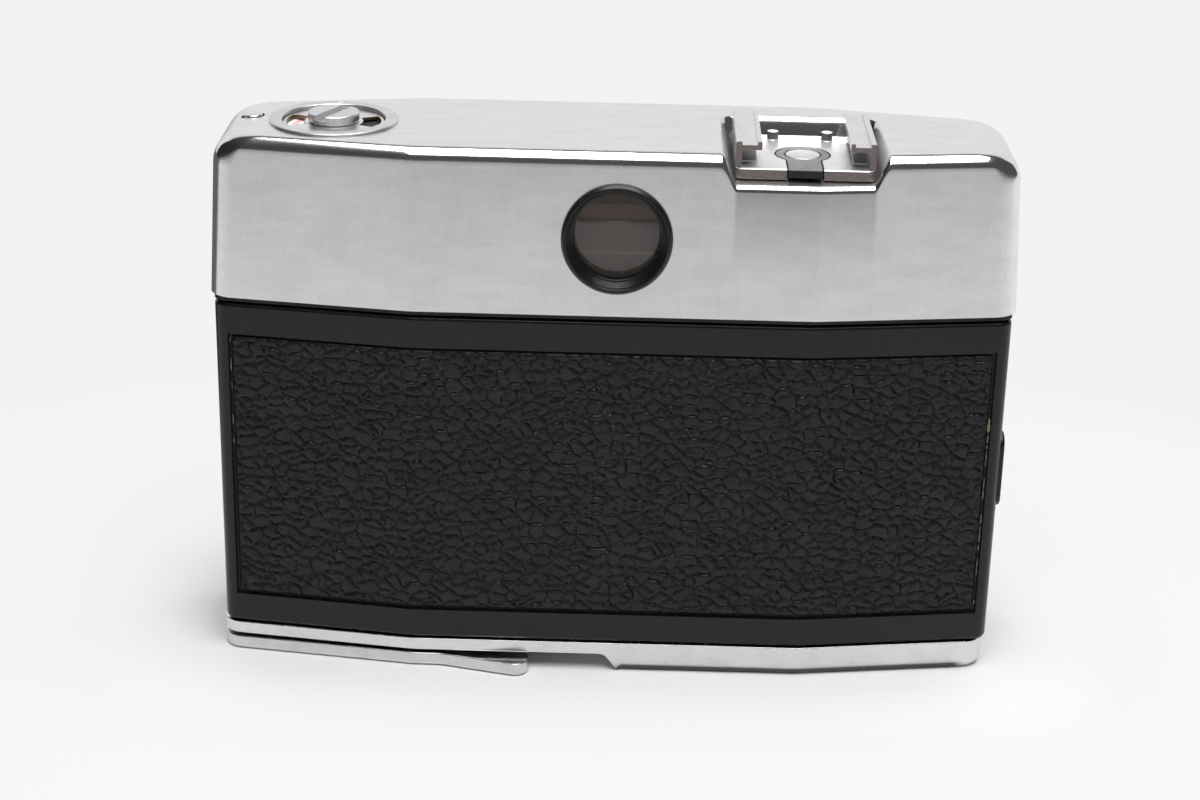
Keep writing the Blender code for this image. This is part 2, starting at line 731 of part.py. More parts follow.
def build_body_casting():
    ledge = cover_wall + seat + (body_top - cover_bottom) * math.tan(cover_lean)
    narrow = plan(inset=ledge)
    shoulder = cover_bottom - seat
    wide = body_outline()
    levels = [(wide, body_bottom), (wide, shoulder), (narrow, shoulder), (narrow, body_top)]
    rings = [[(x, y, z) for x, y in line] for line, z in levels]
    casting = add_mesh("body_casting", loft(rings), "black_casting")
    cut(casting, prism(door_space(), body_bottom - past, door_top + running), "door_space")
    chambers = (("cassette", rewind_x, cassette_radius), ("spool", spool_x, spool_chamber_radius))
    for name, x, radius in chambers:
        round_part = disc(radius, chamber_bottom, chamber_top, (x, mid_y, 0.0))
        cut(casting, round_part, name + "_chamber")
        mouth = box((x - radius, mid_y, chamber_bottom), (x + radius, rear_y + past, chamber_top))
        cut(casting, mouth, name + "_mouth")
    well = (sprocket_x, sprocket_y, 0.0)
    cut(casting, disc(sprocket_room, chamber_bottom, chamber_top, well, segments=32), "sprocket_well")
    mouth = box((sprocket_x - sprocket_room, sprocket_y, chamber_bottom),
                (sprocket_x + sprocket_room, rear_y, chamber_top))
    cut(casting, mouth, "sprocket_mouth")
    film_way = box((rewind_x, gate_back - seat, chamber_bottom), (spool_x, rear_y, chamber_top))
    cut(casting, film_way, "film_way")
    tunnel = [(gate_width + gate_margin, gate_height + gate_margin, rear_y),
              (gate_width, gate_height - gate_margin, mid_y)]
    rings = [[(x, y, axis_z + z) for x, z in round_rect(w, h, sharp_round)] for w, h, y in tunnel]
    cut(casting, loft(rings), "light_tunnel")
    lens_hole = disc(mount_tube_radius + running, -cover_depth / 2 - past, past, (0.0, front_y, axis_z), "Y")
    cut(casting, lens_hole, "lens_hole")
    for name, x, y, radius in (("wind", spool_x, mid_y, wind_shaft_radius),
                               ("rewind", rewind_x, mid_y, rewind_shaft_radius)):
        hole = disc(radius + running, body_bottom - past, chamber_bottom + past, (x, y, 0.0), segments=24)
        cut(casting, hole, name + "_hole")
    for name, x, y, radius in (("counter", spool_x, counter_y, counter_shaft_radius),
                               ("button", button_x, button_y, button_stem_radius)):
        hole = disc(radius + running, body_top - deck_hole_depth, body_top + past, (x, y, 0.0), segments=24)
        cut(casting, hole, name + "_hole")
    pivot_hole = disc(sprocket_pivot_radius + running, chamber_bottom - pivot_depth - running,
                      chamber_top + pivot_depth + running, well, segments=16)
    cut(casting, pivot_hole, "sprocket_pivots")
    bed_inset = body_front_inset + leather + leather_seat
    for side, name, start in ((1, "left", front_leather_near), (-1, "right", release_leather_near)):
        near, far = side * (start - seat), side * (front_leather_far + seat)
        bed = strip(front_line(-past, near, far), front_line(bed_inset, near, far))
        cut(casting, prism(bed, leather_bottom - seat, leather_top + seat), name + "_leather_bed")
    cut(casting, release_bed(), "release_bed")
    web = box((hinge_x - hinge_radius, hinge_y - hinge_swing_room - past, hinge_knuckle_mid + running),
              (hinge_x + hinge_radius / 2, hinge_y, hinge_knuckle_high - running))
    join(casting, web, "hinge_web")
    join(casting, hinge_tube(hinge_radius, hinge_knuckle_mid + running, hinge_knuckle_high - running),
         "hinge_barrel")
    bore = hinge_tube(hinge_pin_radius + running, hinge_knuckle_mid - past, hinge_knuckle_high + past)
    cut(casting, bore, "hinge_bore")
    keeper = box((-body_half, split_y - running, latch_z - latch_length),
                 (-body_half + door_flange + latch_hook_room, rear_y, latch_z + latch_length))
    cut(casting, keeper, "latch_pocket")
    for i, (x, y) in enumerate(base_screw_places()):
        hole = disc(base_screw_radius + running, body_bottom - past, body_bottom + screw_bite, (x, y, 0.0),
                    segments=16)
        cut(casting, hole, f"screw_hole_{i + 1}")
    return casting


# ================================================================ back door and what it carries
def build_back_door():
    origin = (hinge_x, hinge_y, (door_bottom + door_top) / 2)
    door = add_mesh("back_door", prism(body_outline(), door_bottom, door_top), "black_enamel", origin)
    clear = body_half - door_flange
    wide = cover_width
    inside = [(-wide, front_y - past), (wide, front_y - past), (wide, hinge_y), (clear, hinge_y)]
    inside += rear_line(body_inset + door_panel, clear, clear)
    inside += [(-clear, split_y), (-wide, split_y)]
    cut(door, prism(inside, door_bottom - past, door_top + past), "inside")
    for name, low, high in (("low", hinge_knuckle_low, hinge_knuckle_mid),
                            ("high", hinge_knuckle_high, hinge_knuckle_end)):
        join(door, hinge_tube(hinge_radius, low, high), name + "_knuckle")
    middle = box((hinge_x - hinge_radius, hinge_y - past, hinge_knuckle_mid),
                 (body_half + past, hinge_y + hinge_radius + running, hinge_knuckle_high))
    cut(door, middle, "middle_gap")
    bore = hinge_tube(hinge_pin_radius + running, hinge_knuckle_low - past, hinge_knuckle_end + past)
    cut(door, bore, "pin_bore")
    half = door_leather_half + seat
    bed = strip(rear_line(-past, half, half), rear_line(body_inset + leather + leather_seat, half, half))
    cut(door, prism(bed, leather_bottom - seat, leather_top + seat), "leather_bed")
    low = latch_z - latch_length / 2 - latch_travel - running
    high = latch_z + latch_length / 2 + running
    pocket = lozenge(latch_width + 2 * running, low, high)
    cut(door, bar(pocket, -body_half - past, -body_half + latch_pocket), "latch_pocket")
    neck = latch_neck_length / 2 + running
    slot = box((-body_half - past, latch_y - latch_neck_width / 2 - running, latch_z - neck - latch_travel),
               (-clear + past, latch_y + latch_neck_width / 2 + running, latch_z + neck))
    cut(door, slot, "latch_slot")
    return door


def lozenge(width, low, high):
    """The long rounded outline of the latch, in Y and Z."""
    return round_rect(width, high - low, latch_end_share * width, (latch_y, (low + high) / 2))


def build_door_leatherette():
    half = door_leather_half
    sheet = strip(rear_line(body_inset, half, half), rear_line(body_inset + leather, half, half))
    return add_mesh("door_leatherette", prism(sheet, leather_bottom, leather_top), "leatherette")


def build_door_latch():
    """A grip outside the door's end, a neck through its slot and a hook plate inside it."""
    outside = -body_half - latch_stand
    floor = -body_half + latch_pocket - latch_floor_gap
    grip = bar(lozenge(latch_width, latch_z - latch_length / 2, latch_z + latch_length / 2), outside, floor)
    latch = add_mesh("door_latch", grip, "black_enamel", (outside, latch_y, latch_z))
    hook_face = -body_half + door_flange + seat
    neck = box((floor - latch_floor_gap, latch_y - latch_neck_width / 2, latch_z - latch_neck_length / 2),
               (hook_face + latch_hook_thickness / 2, latch_y + latch_neck_width / 2,
                latch_z + latch_neck_length / 2))
    join(latch, neck, "neck")
    hook = box((hook_face, latch_y - latch_width / 2, latch_z - latch_length / 2),
               (hook_face + latch_hook_thickness, latch_y + latch_width / 2, latch_z + latch_length / 2))
    join(latch, hook, "hook")
    return latch


def build_pressure_plate():
    face = film_y + seat
    outline = round_rect(plate_width, plate_height, soft_round, (0.0, axis_z))
    plate = slab(outline, face, face + plate_thickness)
    return add_mesh("pressure_plate", plate, "black_enamel", (0.0, face + plate_thickness, axis_z))


def build_pressure_spring():
    """A bowed strip between the door and the pressure plate."""
    door_face = rear_y - body_inset - door_panel - seat
    bow = door_face - (film_y + seat + plate_thickness + plate_travel + running) - spring_thickness
    points = []
    for k in range(9):
        along = -1.0 + k / 4
        points.append((axis_z + along * spring_length / 2, door_face - bow * (1.0 - along ** 2)))
    outline = [(y, z) for z, y in points] + [(y - spring_thickness, z) for z, y in reversed(points)]
    return add_mesh("pressure_spring", bar(outline, -spring_width / 2, spring_width / 2), "steel")


def build_hinge_pin():
    pin = hinge_tube(hinge_pin_radius, hinge_knuckle_low - seat, hinge_knuckle_end + seat)
    return add_mesh("hinge_pin", pin, "steel")


# ================================================================ film transport
def build_film_gate():
    outline = round_rect(gate_plate_width, gate_plate_height, small_round, (0.0, axis_z))
    plate = add_mesh("film_gate", slab(outline, gate_back, gate_face), "black_enamel")
    for name, side in (("upper", 1), ("lower", -1)):
        z = axis_z + side * (gate_height / 2 + gate_rail_width)
        rail = box((-gate_plate_width / 2 + gate_rail_margin, gate_back + seat, z - gate_rail_width / 2),
                   (gate_plate_width / 2 - gate_rail_margin, film_y, z + gate_rail_width / 2))
        join(plate, rail, name + "_rail")
    window = round_rect(gate_width, gate_height, sharp_round, (0.0, axis_z))
    cut(plate, slab(window, gate_back - past, film_y + past), "frame_window")
    return plate


def build_take_up_spool():
    low, high = chamber_bottom + running, chamber_top - running
    bore = wind_shaft_radius + running
    profile = [(bore, low), (spool_flange_radius, low), (spool_flange_radius, low + spool_flange),
               (spool_core_radius, low + spool_flange), (spool_core_radius, high - spool_flange),
               (spool_flange_radius, high - spool_flange), (spool_flange_radius, high), (bore, high)]
    spool = add_mesh("take_up_spool", turned(profile, (spool_x, mid_y, 0.0), segments=32), "black_plastic",
                     (spool_x, mid_y, (low + high) / 2))
    slot = box((spool_x - spool_slot / 2, mid_y, axis_z - gate_height / 2),
               (spool_x + spool_slot / 2, mid_y + 2 * spool_core_radius, axis_z + gate_height / 2))
    cut(spool, slot, "film_slot")
    return spool


def build_film_sprocket():
    """A shaft with two toothed rims, which turns in the casting's decks."""
    low, high = chamber_bottom + running, chamber_top - running
    upper, lower = axis_z + sprocket_row, axis_z - sprocket_row
    rim = sprocket_rim_width / 2
    levels = [(low - pivot_depth, sprocket_pivot_radius, 0.0), (low, sprocket_pivot_radius, 0.0),
              (low, sprocket_waist, 0.0)]
    for z in (lower, upper):
        levels += [(z - rim, sprocket_waist, 0.0), (z - rim, sprocket_radius, sprocket_tooth),
                   (z + rim, sprocket_radius, sprocket_tooth), (z + rim, sprocket_waist, 0.0)]
    levels += [(high, sprocket_waist, 0.0), (high, sprocket_pivot_radius, 0.0),
               (high + pivot_depth, sprocket_pivot_radius, 0.0)]
    rings = []
    for z, radius, tooth in levels:
        ring = []
        for k in range(sprocket_teeth * 4):
            turn = 2 * math.pi * k / (sprocket_teeth * 4)
            reach = radius + (tooth if k % 4 == 0 else 0.0)
            ring.append((sprocket_x + reach * math.cos(turn), sprocket_y + reach * math.sin(turn), z))
        rings.append(ring)
    return add_mesh("film_sprocket", loft(rings), "steel", (sprocket_x, sprocket_y, axis_z))


def build_wind_shaft():
    low = lever_ground + lever_thickness + seat
    shaft = disc(wind_shaft_radius, low, chamber_top - running, (spool_x, mid_y, 0.0), segments=24)
    return add_mesh("wind_shaft", shaft, "steel", (spool_x, mid_y, low))


def build_wind_lever():
    left = base_half_left - lever_side_inset
    front = mid_y - lever_front_reach
    corners = [
        ((left, rear_y - lever_edge - rear_slope * (left - crease_x)), lever_end_round),
        ((crease_x, rear_y - lever_edge), crease_radius),
        ((lever_bend_x, rear_y - lever_edge), lever_bend_round),
        ((lever_tip_x, rear_y + lever_corner), lever_tip_round),
        ((lever_tip_x, rear_y + lever_corner - lever_tip_width), lever_inner_round),
        ((lever_bend_x, rear_y - lever_neck), lever_neck_round),
        ((spool_x - lever_shoulder, front), lever_hub_round),
        ((spool_x + lever_hub_radius, front), lever_hub_round),
        ((left, rear_y - lever_edge - lever_left_depth), lever_front_round),
    ]
    outline = rounded([point for point, _ in corners], [radius for _, radius in corners], 5)
    low, high = lever_ground, lever_ground + lever_thickness
    lever = add_mesh("wind_lever", prism(outline, low, high), "bright_chrome", (spool_x, mid_y, high))
    pivot = (spool_x, mid_y, 0.0)
    cut(lever, disc(wind_screw_radius + seat, -past, low + wind_screw_height + seat, pivot, segments=32),
        "screw_seat")
    cut(lever, disc(wind_screw_shank + seat, -past, high + past, pivot, segments=24), "screw_hole")
    return lever


def slotted_screw(name, centre, radius, head, shank, length, finish="bright_chrome"):
    """A flat screw whose head lies at the lower end, with its slot along X."""
    x, y, z = centre
    profile = [(0.0, 0.0), (radius, 0.0), (radius, head), (shank, head), (shank, length), (0.0, length)]
    screw = add_mesh(name, turned(profile, centre, segments=24), finish, centre)
    half = screw_slot * radius / 2
    slot = box((x - radius - past, y - half, z - past), (x + radius + past, y + half, z + head / 2))
    cut(screw, slot, "slot")
    return screw


def build_wind_screw():
    length = lever_thickness - seat
    return slotted_screw("wind_lever_screw", (spool_x, mid_y, lever_ground + wind_screw_sink),
                         wind_screw_radius,
                         wind_screw_height, wind_screw_shank, length)


# ================================================================ base plate
def base_screw_places():
    return [(-base_screw_x, mid_y), (base_screw_middle, mid_y - base_screw_offset),
            (base_screw_middle, mid_y + base_screw_offset)]


def build_base_plate():
    outline = plan(inset=base_inset, left=base_half_left, right=base_half_right, corner=base_corner_radius)
    plate = add_mesh("base_plate", prism(outline, 0.0, base_thickness), "bright_chrome")
    step = []
    for k in range(9):
        share = k / 8
        step.append((step_x - step_run * share, lever_room * (0.5 + 0.5 * math.cos(math.pi * share))))
    room = [(cover_width, -past), (cover_width, lever_room)] + step + [(step_x - step_run, -past)]
    cut(plate, slab(room, front_y - past, rear_y + past), "lever_room")
    well = disc(rewind_knob_radius + rewind_well_gap, -past, rewind_well_depth, (rewind_x, mid_y, 0.0))
    cut(plate, well, "rewind_well")
    shafts = (("rewind_hole", rewind_x, rewind_shaft_radius), ("wind_hole", spool_x, wind_shaft_radius))
    for name, x, radius in shafts:
        cut(plate, disc(radius + running, -past, base_thickness + past, (x, mid_y, 0.0), segments=24), name)
    cut(plate, disc(tripod_radius + seat, -past, base_thickness + past, (tripod_x, mid_y, 0.0)),
        "tripod_hole")
    for i, (x, y) in enumerate(base_screw_places()):
        floor = lever_room if x > step_x else 0.0
        hole = disc(base_screw_radius + seat, -past, base_thickness + past, (x, y, 0.0), segments=16)
        cut(plate, hole, f"screw_hole_{i + 1}")
        seat_top = floor + base_screw_head_height + seat + screw_sink
        head = disc(base_screw_head + seat, -past, seat_top, (x, y, 0.0), segments=24)
        cut(plate, head, f"screw_seat_{i + 1}")
    return plate


def build_base_screws():
    for i, (x, y) in enumerate(base_screw_places()):
        floor = lever_room if x > step_x else 0.0
        length = body_bottom + screw_bite - running - floor - screw_sink
        slotted_screw(f"base_screw_{i + 1}", (x, y, floor + screw_sink), base_screw_head,
                      base_screw_head_height,
                      base_screw_radius, length)


def build_tripod_bush():
    low, high = screw_sink, base_thickness
    centre = (tripod_x, mid_y, 0.0)
    bush = add_mesh("tripod_bush", disc(tripod_radius, low, high, centre, segments=32), "steel")
    cut(bush, disc(tripod_bore, -past, high - tripod_floor, centre, segments=24), "thread_bore")
    return bush


# ================================================================ rewind
def build_rewind_fork():
    """A shaft through the base with a collar and two prongs for the cassette's spool."""
    low = knob_high + seat
    collar = chamber_bottom + running
    shaft = rewind_shaft_radius
    profile = [(0.0, low), (shaft, low), (shaft, collar), (fork_collar_radius, collar),
               (fork_collar_radius, collar + fork_collar), (shaft, collar + fork_collar),
               (shaft, collar + fork_length), (0.0, collar + fork_length)]
    fork = add_mesh("rewind_fork", turned(profile, (rewind_x, mid_y, 0.0), segments=24), "steel",
                    (rewind_x, mid_y, low))
    gap = box((rewind_x - fork_gap / 2, mid_y - fork_collar_radius, collar + fork_collar + fork_gap),
              (rewind_x + fork_gap / 2, mid_y + fork_collar_radius, collar + fork_length + past))
    cut(fork, gap, "prong_gap")
    return fork


def build_rewind_knob():
    centre = (rewind_x, mid_y, 0.0)
    knob = add_mesh("rewind_knob", disc(rewind_knob_radius, knob_low, knob_high, centre), "bright_chrome",
                    (rewind_x, mid_y, knob_high))
    half = crank_width / 2 + running
    groove = box((rewind_x - 2 * rewind_knob_radius, mid_y - half, -past),
                 (rewind_x + 2 * rewind_knob_radius, mid_y + half, crank_high + running))
    cut(knob, groove, "crank_groove")
    heel = box((crank_pin_x - crank_heel - running, mid_y - half, -past),
               (crank_pin_x + crank_heel + running, mid_y + half, knob_high + past))
    cut(knob, heel, "heel_room")
    handle = disc(crank_handle_radius + 2 * running, -past, knob_high + past, (crank_end_x, mid_y, 0.0),
                  segments=24)
    cut(knob, handle, "handle_room")
    bore = disc(crank_pin_radius + running, -rewind_knob_radius, rewind_knob_radius,
                (crank_pin_x, mid_y, crank_pin_z),
                "Y", segments=16)
    cut(knob, bore, "pin_bore")
    return knob


def build_rewind_crank():
    outline = rounded([(crank_end_x - crank_width / 2, mid_y - crank_width / 2),
                       (crank_pin_x + crank_heel, mid_y - crank_width / 2),
                       (crank_pin_x + crank_heel, mid_y + crank_width / 2),
                       (crank_end_x - crank_width / 2, mid_y + crank_width / 2)],
                      [crank_end_round, bevel, bevel, crank_end_round])
    crank = add_mesh("rewind_crank", prism(outline, crank_low, crank_high), "bright_chrome",
                     (crank_pin_x, mid_y, crank_pin_z))
    reach = crank_width / 2 + running + crank_pin_bite
    join(crank, disc(crank_pin_radius, -reach, reach, (crank_pin_x, mid_y, crank_pin_z), "Y", segments=16),
         "trunnions")
    join(crank, disc(crank_handle_radius, crank_high - crank_thickness / 2, crank_high + crank_handle_height,
                     (crank_end_x, mid_y, 0.0), segments=20), "handle")
    return crank


# ================================================================ frame counter and button
def build_counter_bezel():
    neck = bezel_opening + bezel_neck_wall
    low = bezel_face - bezel_neck_depth
    profile = [(bezel_opening, low), (neck, low), (neck, cover_top + seat), (bezel_radius, cover_top + seat),
               (bezel_radius, bezel_face - bezel_flange / 2), (bezel_radius - bezel_flange / 2, bezel_face),
               (bezel_opening + bezel_flange / 2, bezel_face), (bezel_opening, bezel_face - bezel_flange / 2)]
    return add_mesh("counter_bezel", turned(profile, counter_at), "bright_chrome")


def build_counter_plate():
    """The fixed disc inside the bezel, with two curved windows and a hole for the hub's shaft."""
    radius = bezel_opening - seat
    plate = add_mesh("counter_plate", disc(radius, counter_plate_low, counter_plate_top, counter_at),
                     "satin_chrome")
    for name, middle in (("left", 0.0), ("right", math.pi)):
        arc = []
        for reach, sweep in ((window_outer_radius, 1.0), (window_inner_radius, -1.0)):
            for k in range(9):
                turn = middle + sweep * window_half_angle * (k / 4 - 1.0)
                arc.append((spool_x + reach * math.cos(turn), counter_y + reach * math.sin(turn)))
        cut(plate, prism(arc, counter_plate_low - past, counter_plate_top + past), name + "_window")
    hole = disc(counter_shaft_radius + running, counter_plate_low - past, counter_plate_top + past,
                counter_at,
                segments=24)
    cut(plate, hole, "shaft_hole")
    return plate


def build_counter_dial():
    radius = bezel_opening - running
    dial = add_mesh("counter_dial", disc(radius, dial_top - dial_thickness, dial_top, counter_at),
                    "white_dial",
                    (spool_x, counter_y, dial_top))
    hole = disc(counter_shaft_radius + seat, dial_top - dial_thickness - past, dial_top + past, counter_at,
                segments=24)
    cut(dial, hole, "shaft_hole")
    return dial


def build_counter_hub():
    """The slotted hub and the shaft that carries the dial, down to the casting's deck."""
    low = counter_plate_top + seat
    top = counter_plate_top + hub_height
    foot = body_top - deck_hole_depth + running
    collar = dial_top - dial_thickness - seat
    profile = [(0.0, foot), (counter_shaft_radius, foot), (counter_shaft_radius, collar - counter_collar),
               (counter_collar_radius, collar - counter_collar), (counter_collar_radius, collar),
               (counter_shaft_radius, collar), (counter_shaft_radius, low), (hub_radius, low),
               (hub_radius, top - fine_bevel), (hub_radius - fine_bevel, top), (0.0, top)]
    hub = add_mesh("counter_hub", turned(profile, counter_at, segments=24), "bright_chrome",
                   (spool_x, counter_y, low))
    slot = box((-hub_radius - past, -hub_slot_width / 2, top - hub_slot_depth),
               (hub_radius + past, hub_slot_width / 2, top + past))
    bmesh.ops.rotate(slot, verts=slot.verts, matrix=Matrix.Rotation(-hub_slot_turn, 3, "Z"))
    bmesh.ops.translate(slot, verts=slot.verts, vec=Vector(counter_at))
    cut(hub, slot, "coin_slot")
    return hub


def build_top_button():
    top = cover_top + button_stand
    cap = top - button_cap
    foot = body_top - deck_hole_depth + button_travel + running
    profile = [(0.0, foot), (button_stem_radius, foot), (button_stem_radius, cap), (button_radius, cap),
               (button_radius, top - fine_bevel), (button_radius - rim_bevel, top), (0.0, top)]
    button = turned(profile, (button_x, button_y, 0.0), segments=24)
    return add_mesh("top_button", button, "bright_chrome", (button_x, button_y, cap))


# ================================================================ accessory shoe
def keyhole(room):
    """The insulator's outline: a ring with a tongue that runs to the shoe's back edge."""
    radius = insulator_radius + room
    half = tongue_width / 2 + room
    bend = math.asin(half / radius)
    points = []
    for k in range(25):
        turn = math.pi / 2 + bend + (2 * math.pi - 2 * bend) * k / 24
        points.append((shoe_x + radius * math.cos(turn), contact_y + radius * math.sin(turn)))
    return points + [(shoe_x + half, shoe_back + past), (shoe_x - half, shoe_back + past)]


def build_shoe_base():
    low = shoe_base_top - shoe_base_thickness
    corners = [(shoe_x - shoe_width / 2, shoe_front), (shoe_x + shoe_width / 2, shoe_front),
               (shoe_x + shoe_width / 2, shoe_back), (shoe_x - shoe_width / 2, shoe_back)]
    base = add_mesh("shoe_base", prism(rounded(corners, [piece_round] * 4), low, shoe_base_top),
                    "bright_chrome")
    for name, side in (("left", 1), ("right", -1)):
        x = shoe_x + side * stop_spread
        post = disc(stop_radius, low + seat, shoe_base_top + stop_height,
                    (x, shoe_front + stop_from_front, 0.0),
                    segments=16)
        join(base, post, name + "_stop")
    cut(base, prism(keyhole(seat), low - past, shoe_base_top + stop_height), "insulator_bed")
    return base


def build_shoe_rail(name, side):
    """A folded rail: a wall on the base and a lip over the slot, with a groove along its top."""
    wall = shoe_rail_wall
    lip = shoe_slot_height
    top = lip + shoe_lip_thickness
    edge = (shoe_rail_width - shoe_channel_width) / 2
    profile = [(0.0, 0.0), (wall, 0.0), (wall, lip), (shoe_rail_width, lip), (shoe_rail_width, top),
               (shoe_rail_width - edge, top), (shoe_rail_width - edge, top - shoe_channel_depth),
               (edge, top - shoe_channel_depth), (edge, top), (0.0, top)]
    outer = shoe_x + side * shoe_width / 2
    points = [(outer - side * x, shoe_base_top + seat + z) for x, z in profile]
    rail = slab(points, shoe_back - shoe_rail_setback - shoe_rail_length, shoe_back - shoe_rail_setback)
    return add_mesh(f"shoe_rail_{name}", rail, "bright_chrome")


def build_shoe_spring(name, side):
    """A thin leaf under a rail's lip, bowed up in its middle to grip a foot."""
    outer = shoe_x + side * (shoe_width / 2 - shoe_rail_wall - seat)
    inner = outer - side * shoe_spring_width
    low = shoe_base_top + seat
    middle = shoe_back - shoe_rail_setback - shoe_rail_length / 2
    line = []
    for k in range(9):
        along = -1.0 + k / 4
        line.append((middle + along * shoe_spring_length / 2, low + shoe_spring_bow * (1.0 - along ** 2)))
    outline = line + [(y, z + shoe_spring_thickness) for y, z in reversed(line)]
    return add_mesh(f"shoe_spring_{name}", bar(outline, min(outer, inner), max(outer, inner)), "steel")


def build_shoe_insulator():
    low = shoe_base_top - insulator_thickness
    tongue_end = shoe_back + past
    insulator = add_mesh("shoe_insulator", prism(keyhole(0.0), low, shoe_base_top), "grey_plastic")
    trim = box((shoe_x - shoe_width, shoe_back + insulator_lip, low - past),
               (shoe_x + shoe_width, tongue_end + past, shoe_base_top + past))
    cut(insulator, trim, "tongue_end")
    hole = disc(contact_radius + seat, low - past, shoe_base_top + past, (shoe_x, contact_y, 0.0),
                segments=32)
    cut(insulator, hole, "contact_hole")
    return insulator


def build_shoe_contact():
    low = shoe_base_top - insulator_thickness
    contact = disc(contact_radius, low, shoe_base_top, (shoe_x, contact_y, 0.0), segments=32)
    return add_mesh("shoe_contact", contact, "steel")


# ================================================================ finder
def build_eyepiece_ring():
    pivot = finder_pivot()
    neck = eyepiece_glass_radius + finder_wall
    stand = -eyepiece_stand
    profile = [(eyepiece_mouth, stand), (eyepiece_radius - bevel, stand), (eyepiece_radius, stand + bevel),
               (eyepiece_radius, -seat), (neck, -seat), (neck, eyepiece_neck),
               (eyepiece_throat, eyepiece_neck),
               (eyepiece_throat, eyepiece_shoulder), (eyepiece_glass_radius + seat, eyepiece_shoulder),
               (eyepiece_glass_radius + seat, eyepiece_step), (eyepiece_mouth, eyepiece_step)]
    ring = tilted(turned(profile, pivot, "Y"), pivot)
    return add_mesh("eyepiece_ring", ring, "black_plastic")


def build_eyepiece_lens():
    pivot = finder_pivot()
    back = eyepiece_shoulder - seat
    face = back - finder_glass_thickness
    half = eyepiece_glass_radius / 2
    profile = [(0.0, face - eyepiece_bulge), (half, face - eyepiece_bulge * 3 / 4),
               (eyepiece_glass_radius, face), (eyepiece_glass_radius, back), (0.0, back)]
    return add_mesh("eyepiece_lens", tilted(turned(profile, pivot, "Y"), pivot), "glass")


def finder_tube_box():
    low = body_top + seat
    high = finder_z + finder_tube_height / 2
    rear = rear_y - finder_tube_rear
    front = front_y + finder_tube_front
    half = finder_tube_width / 2
    return Vector((finder_x - half, front, low)), Vector((finder_x + half, rear, high))


def build_finder_tube():
    low, high = finder_tube_box()
    tube = add_mesh("finder_tube", box(low, high), "black_plastic")
    wall = Vector((finder_wall, -past, finder_wall))
    cut(tube, box(low + wall, high - wall), "inside")
    return tube


def build_finder_lens():
    low, high = finder_tube_box()
    room = finder_wall + seat
    face = low.y + finder_lens_sink
    lens = box((low.x + room, face, low.z + room),
               (high.x - room, face + finder_glass_thickness, high.z - room))
    return add_mesh("finder_front_lens", lens, "glass")


def front_finder_pivot():
    y = front_y + (finder_z - cover_bottom) * math.tan(cover_lean)
    return Vector((finder_x, y, finder_z))


def build_finder_window():
    """The frame around the finder's front window and the glass in it."""
    pivot = front_finder_pivot()
    centre = (finder_x, finder_z)
    width, height = finder_window_width, finder_window_height
    border = 2 * finder_frame_border
    flange = round_rect(width + border, height + border, soft_round, centre)
    frame = add_mesh("finder_window_frame",
                     tilted(slab(flange, pivot.y - seat - finder_frame_stand, pivot.y - seat),
                                                   pivot, -cover_lean), "black_plastic")
    neck = round_rect(width - 2 * seat, height - 2 * seat, small_round, centre)
    join(frame, tilted(slab(neck, pivot.y - 2 * seat, pivot.y + finder_frame_depth), pivot, -cover_lean),
         "neck")
    hole = round_rect(width - border, height - border, small_round, centre)
    opening = slab(hole, pivot.y - 2 * past, pivot.y + finder_frame_depth + past)
    cut(frame, tilted(opening, pivot, -cover_lean), "opening")
    bed_width, bed_height = (size - border + 2 * finder_bed_margin for size in (width, height))
    bed = round_rect(bed_width, bed_height, small_round, centre)
    cut(frame, tilted(slab(bed, pivot.y + finder_bed_face, pivot.y + finder_frame_depth + past), pivot,
                      -cover_lean),
        "glass_bed")
    pane = round_rect(bed_width - 2 * seat, bed_height - 2 * seat, small_round, centre)
    glass = slab(pane, pivot.y + finder_bed_face + seat, pivot.y + finder_frame_depth)
    add_mesh("finder_window", tilted(glass, pivot, -cover_lean), "glass")


# ================================================================ front of the body
def build_front_leatherettes():
    for side, name, start in ((1, "left", front_leather_near), (-1, "right", release_leather_near)):
        near, far = side * start, side * front_leather_far
        sheet = strip(front_line(body_front_inset, near, far),
                      front_line(body_front_inset + leather, near, far))
        add_mesh(f"front_leatherette_{name}", prism(sheet, leather_bottom, leather_top), "leatherette")


def build_front_plate():
    """The metal plate behind the lens, with the hole for the lens and the release's slot."""
    outline = round_rect(2 * front_plate_half, front_plate_height, front_plate_round, (0.0, axis_z))
    back = body_front - seat
    plate = add_mesh("front_plate", slab(outline, back - front_plate_thickness, back), "satin_chrome")
    hole = disc(mount_tube_radius + seat, -front_plate_thickness * 3, front_plate_thickness * 3,
                (0.0, back, axis_z), "Y")
    cut(plate, hole, "lens_hole")
    return plate


def release_bed():
    low = release_z - release_plate / 2 - release_travel - running
    high = release_z + release_plate / 2 + running
    half = release_width / 2 + release_tongue + running
    return box((release_x - half, front_y - past, low),
               (release_x + half, release_face + release_depth, high))


def build_shutter_release():
    """A grip on a flat tongue that slides down in its bed."""
    back = release_face + release_depth - running
    front = release_face + release_sink
    half = release_width / 2 + release_tongue
    tongue = box((release_x - half, front, release_z - release_plate / 2),
                 (release_x + half, back, release_z + release_plate / 2))
    slider = add_mesh("shutter_release", tongue, "satin_chrome", (release_x, front, release_z))
    grip = round_rect(release_width, release_length, soft_round, (release_x, release_z))
    join(slider, slab(grip, release_face - release_stand, front + seat), "grip")
    return slider


# ================================================================ lens and shutter
def depth(y):
    """Height along the lens axis of a plane at this Y."""
    return -y


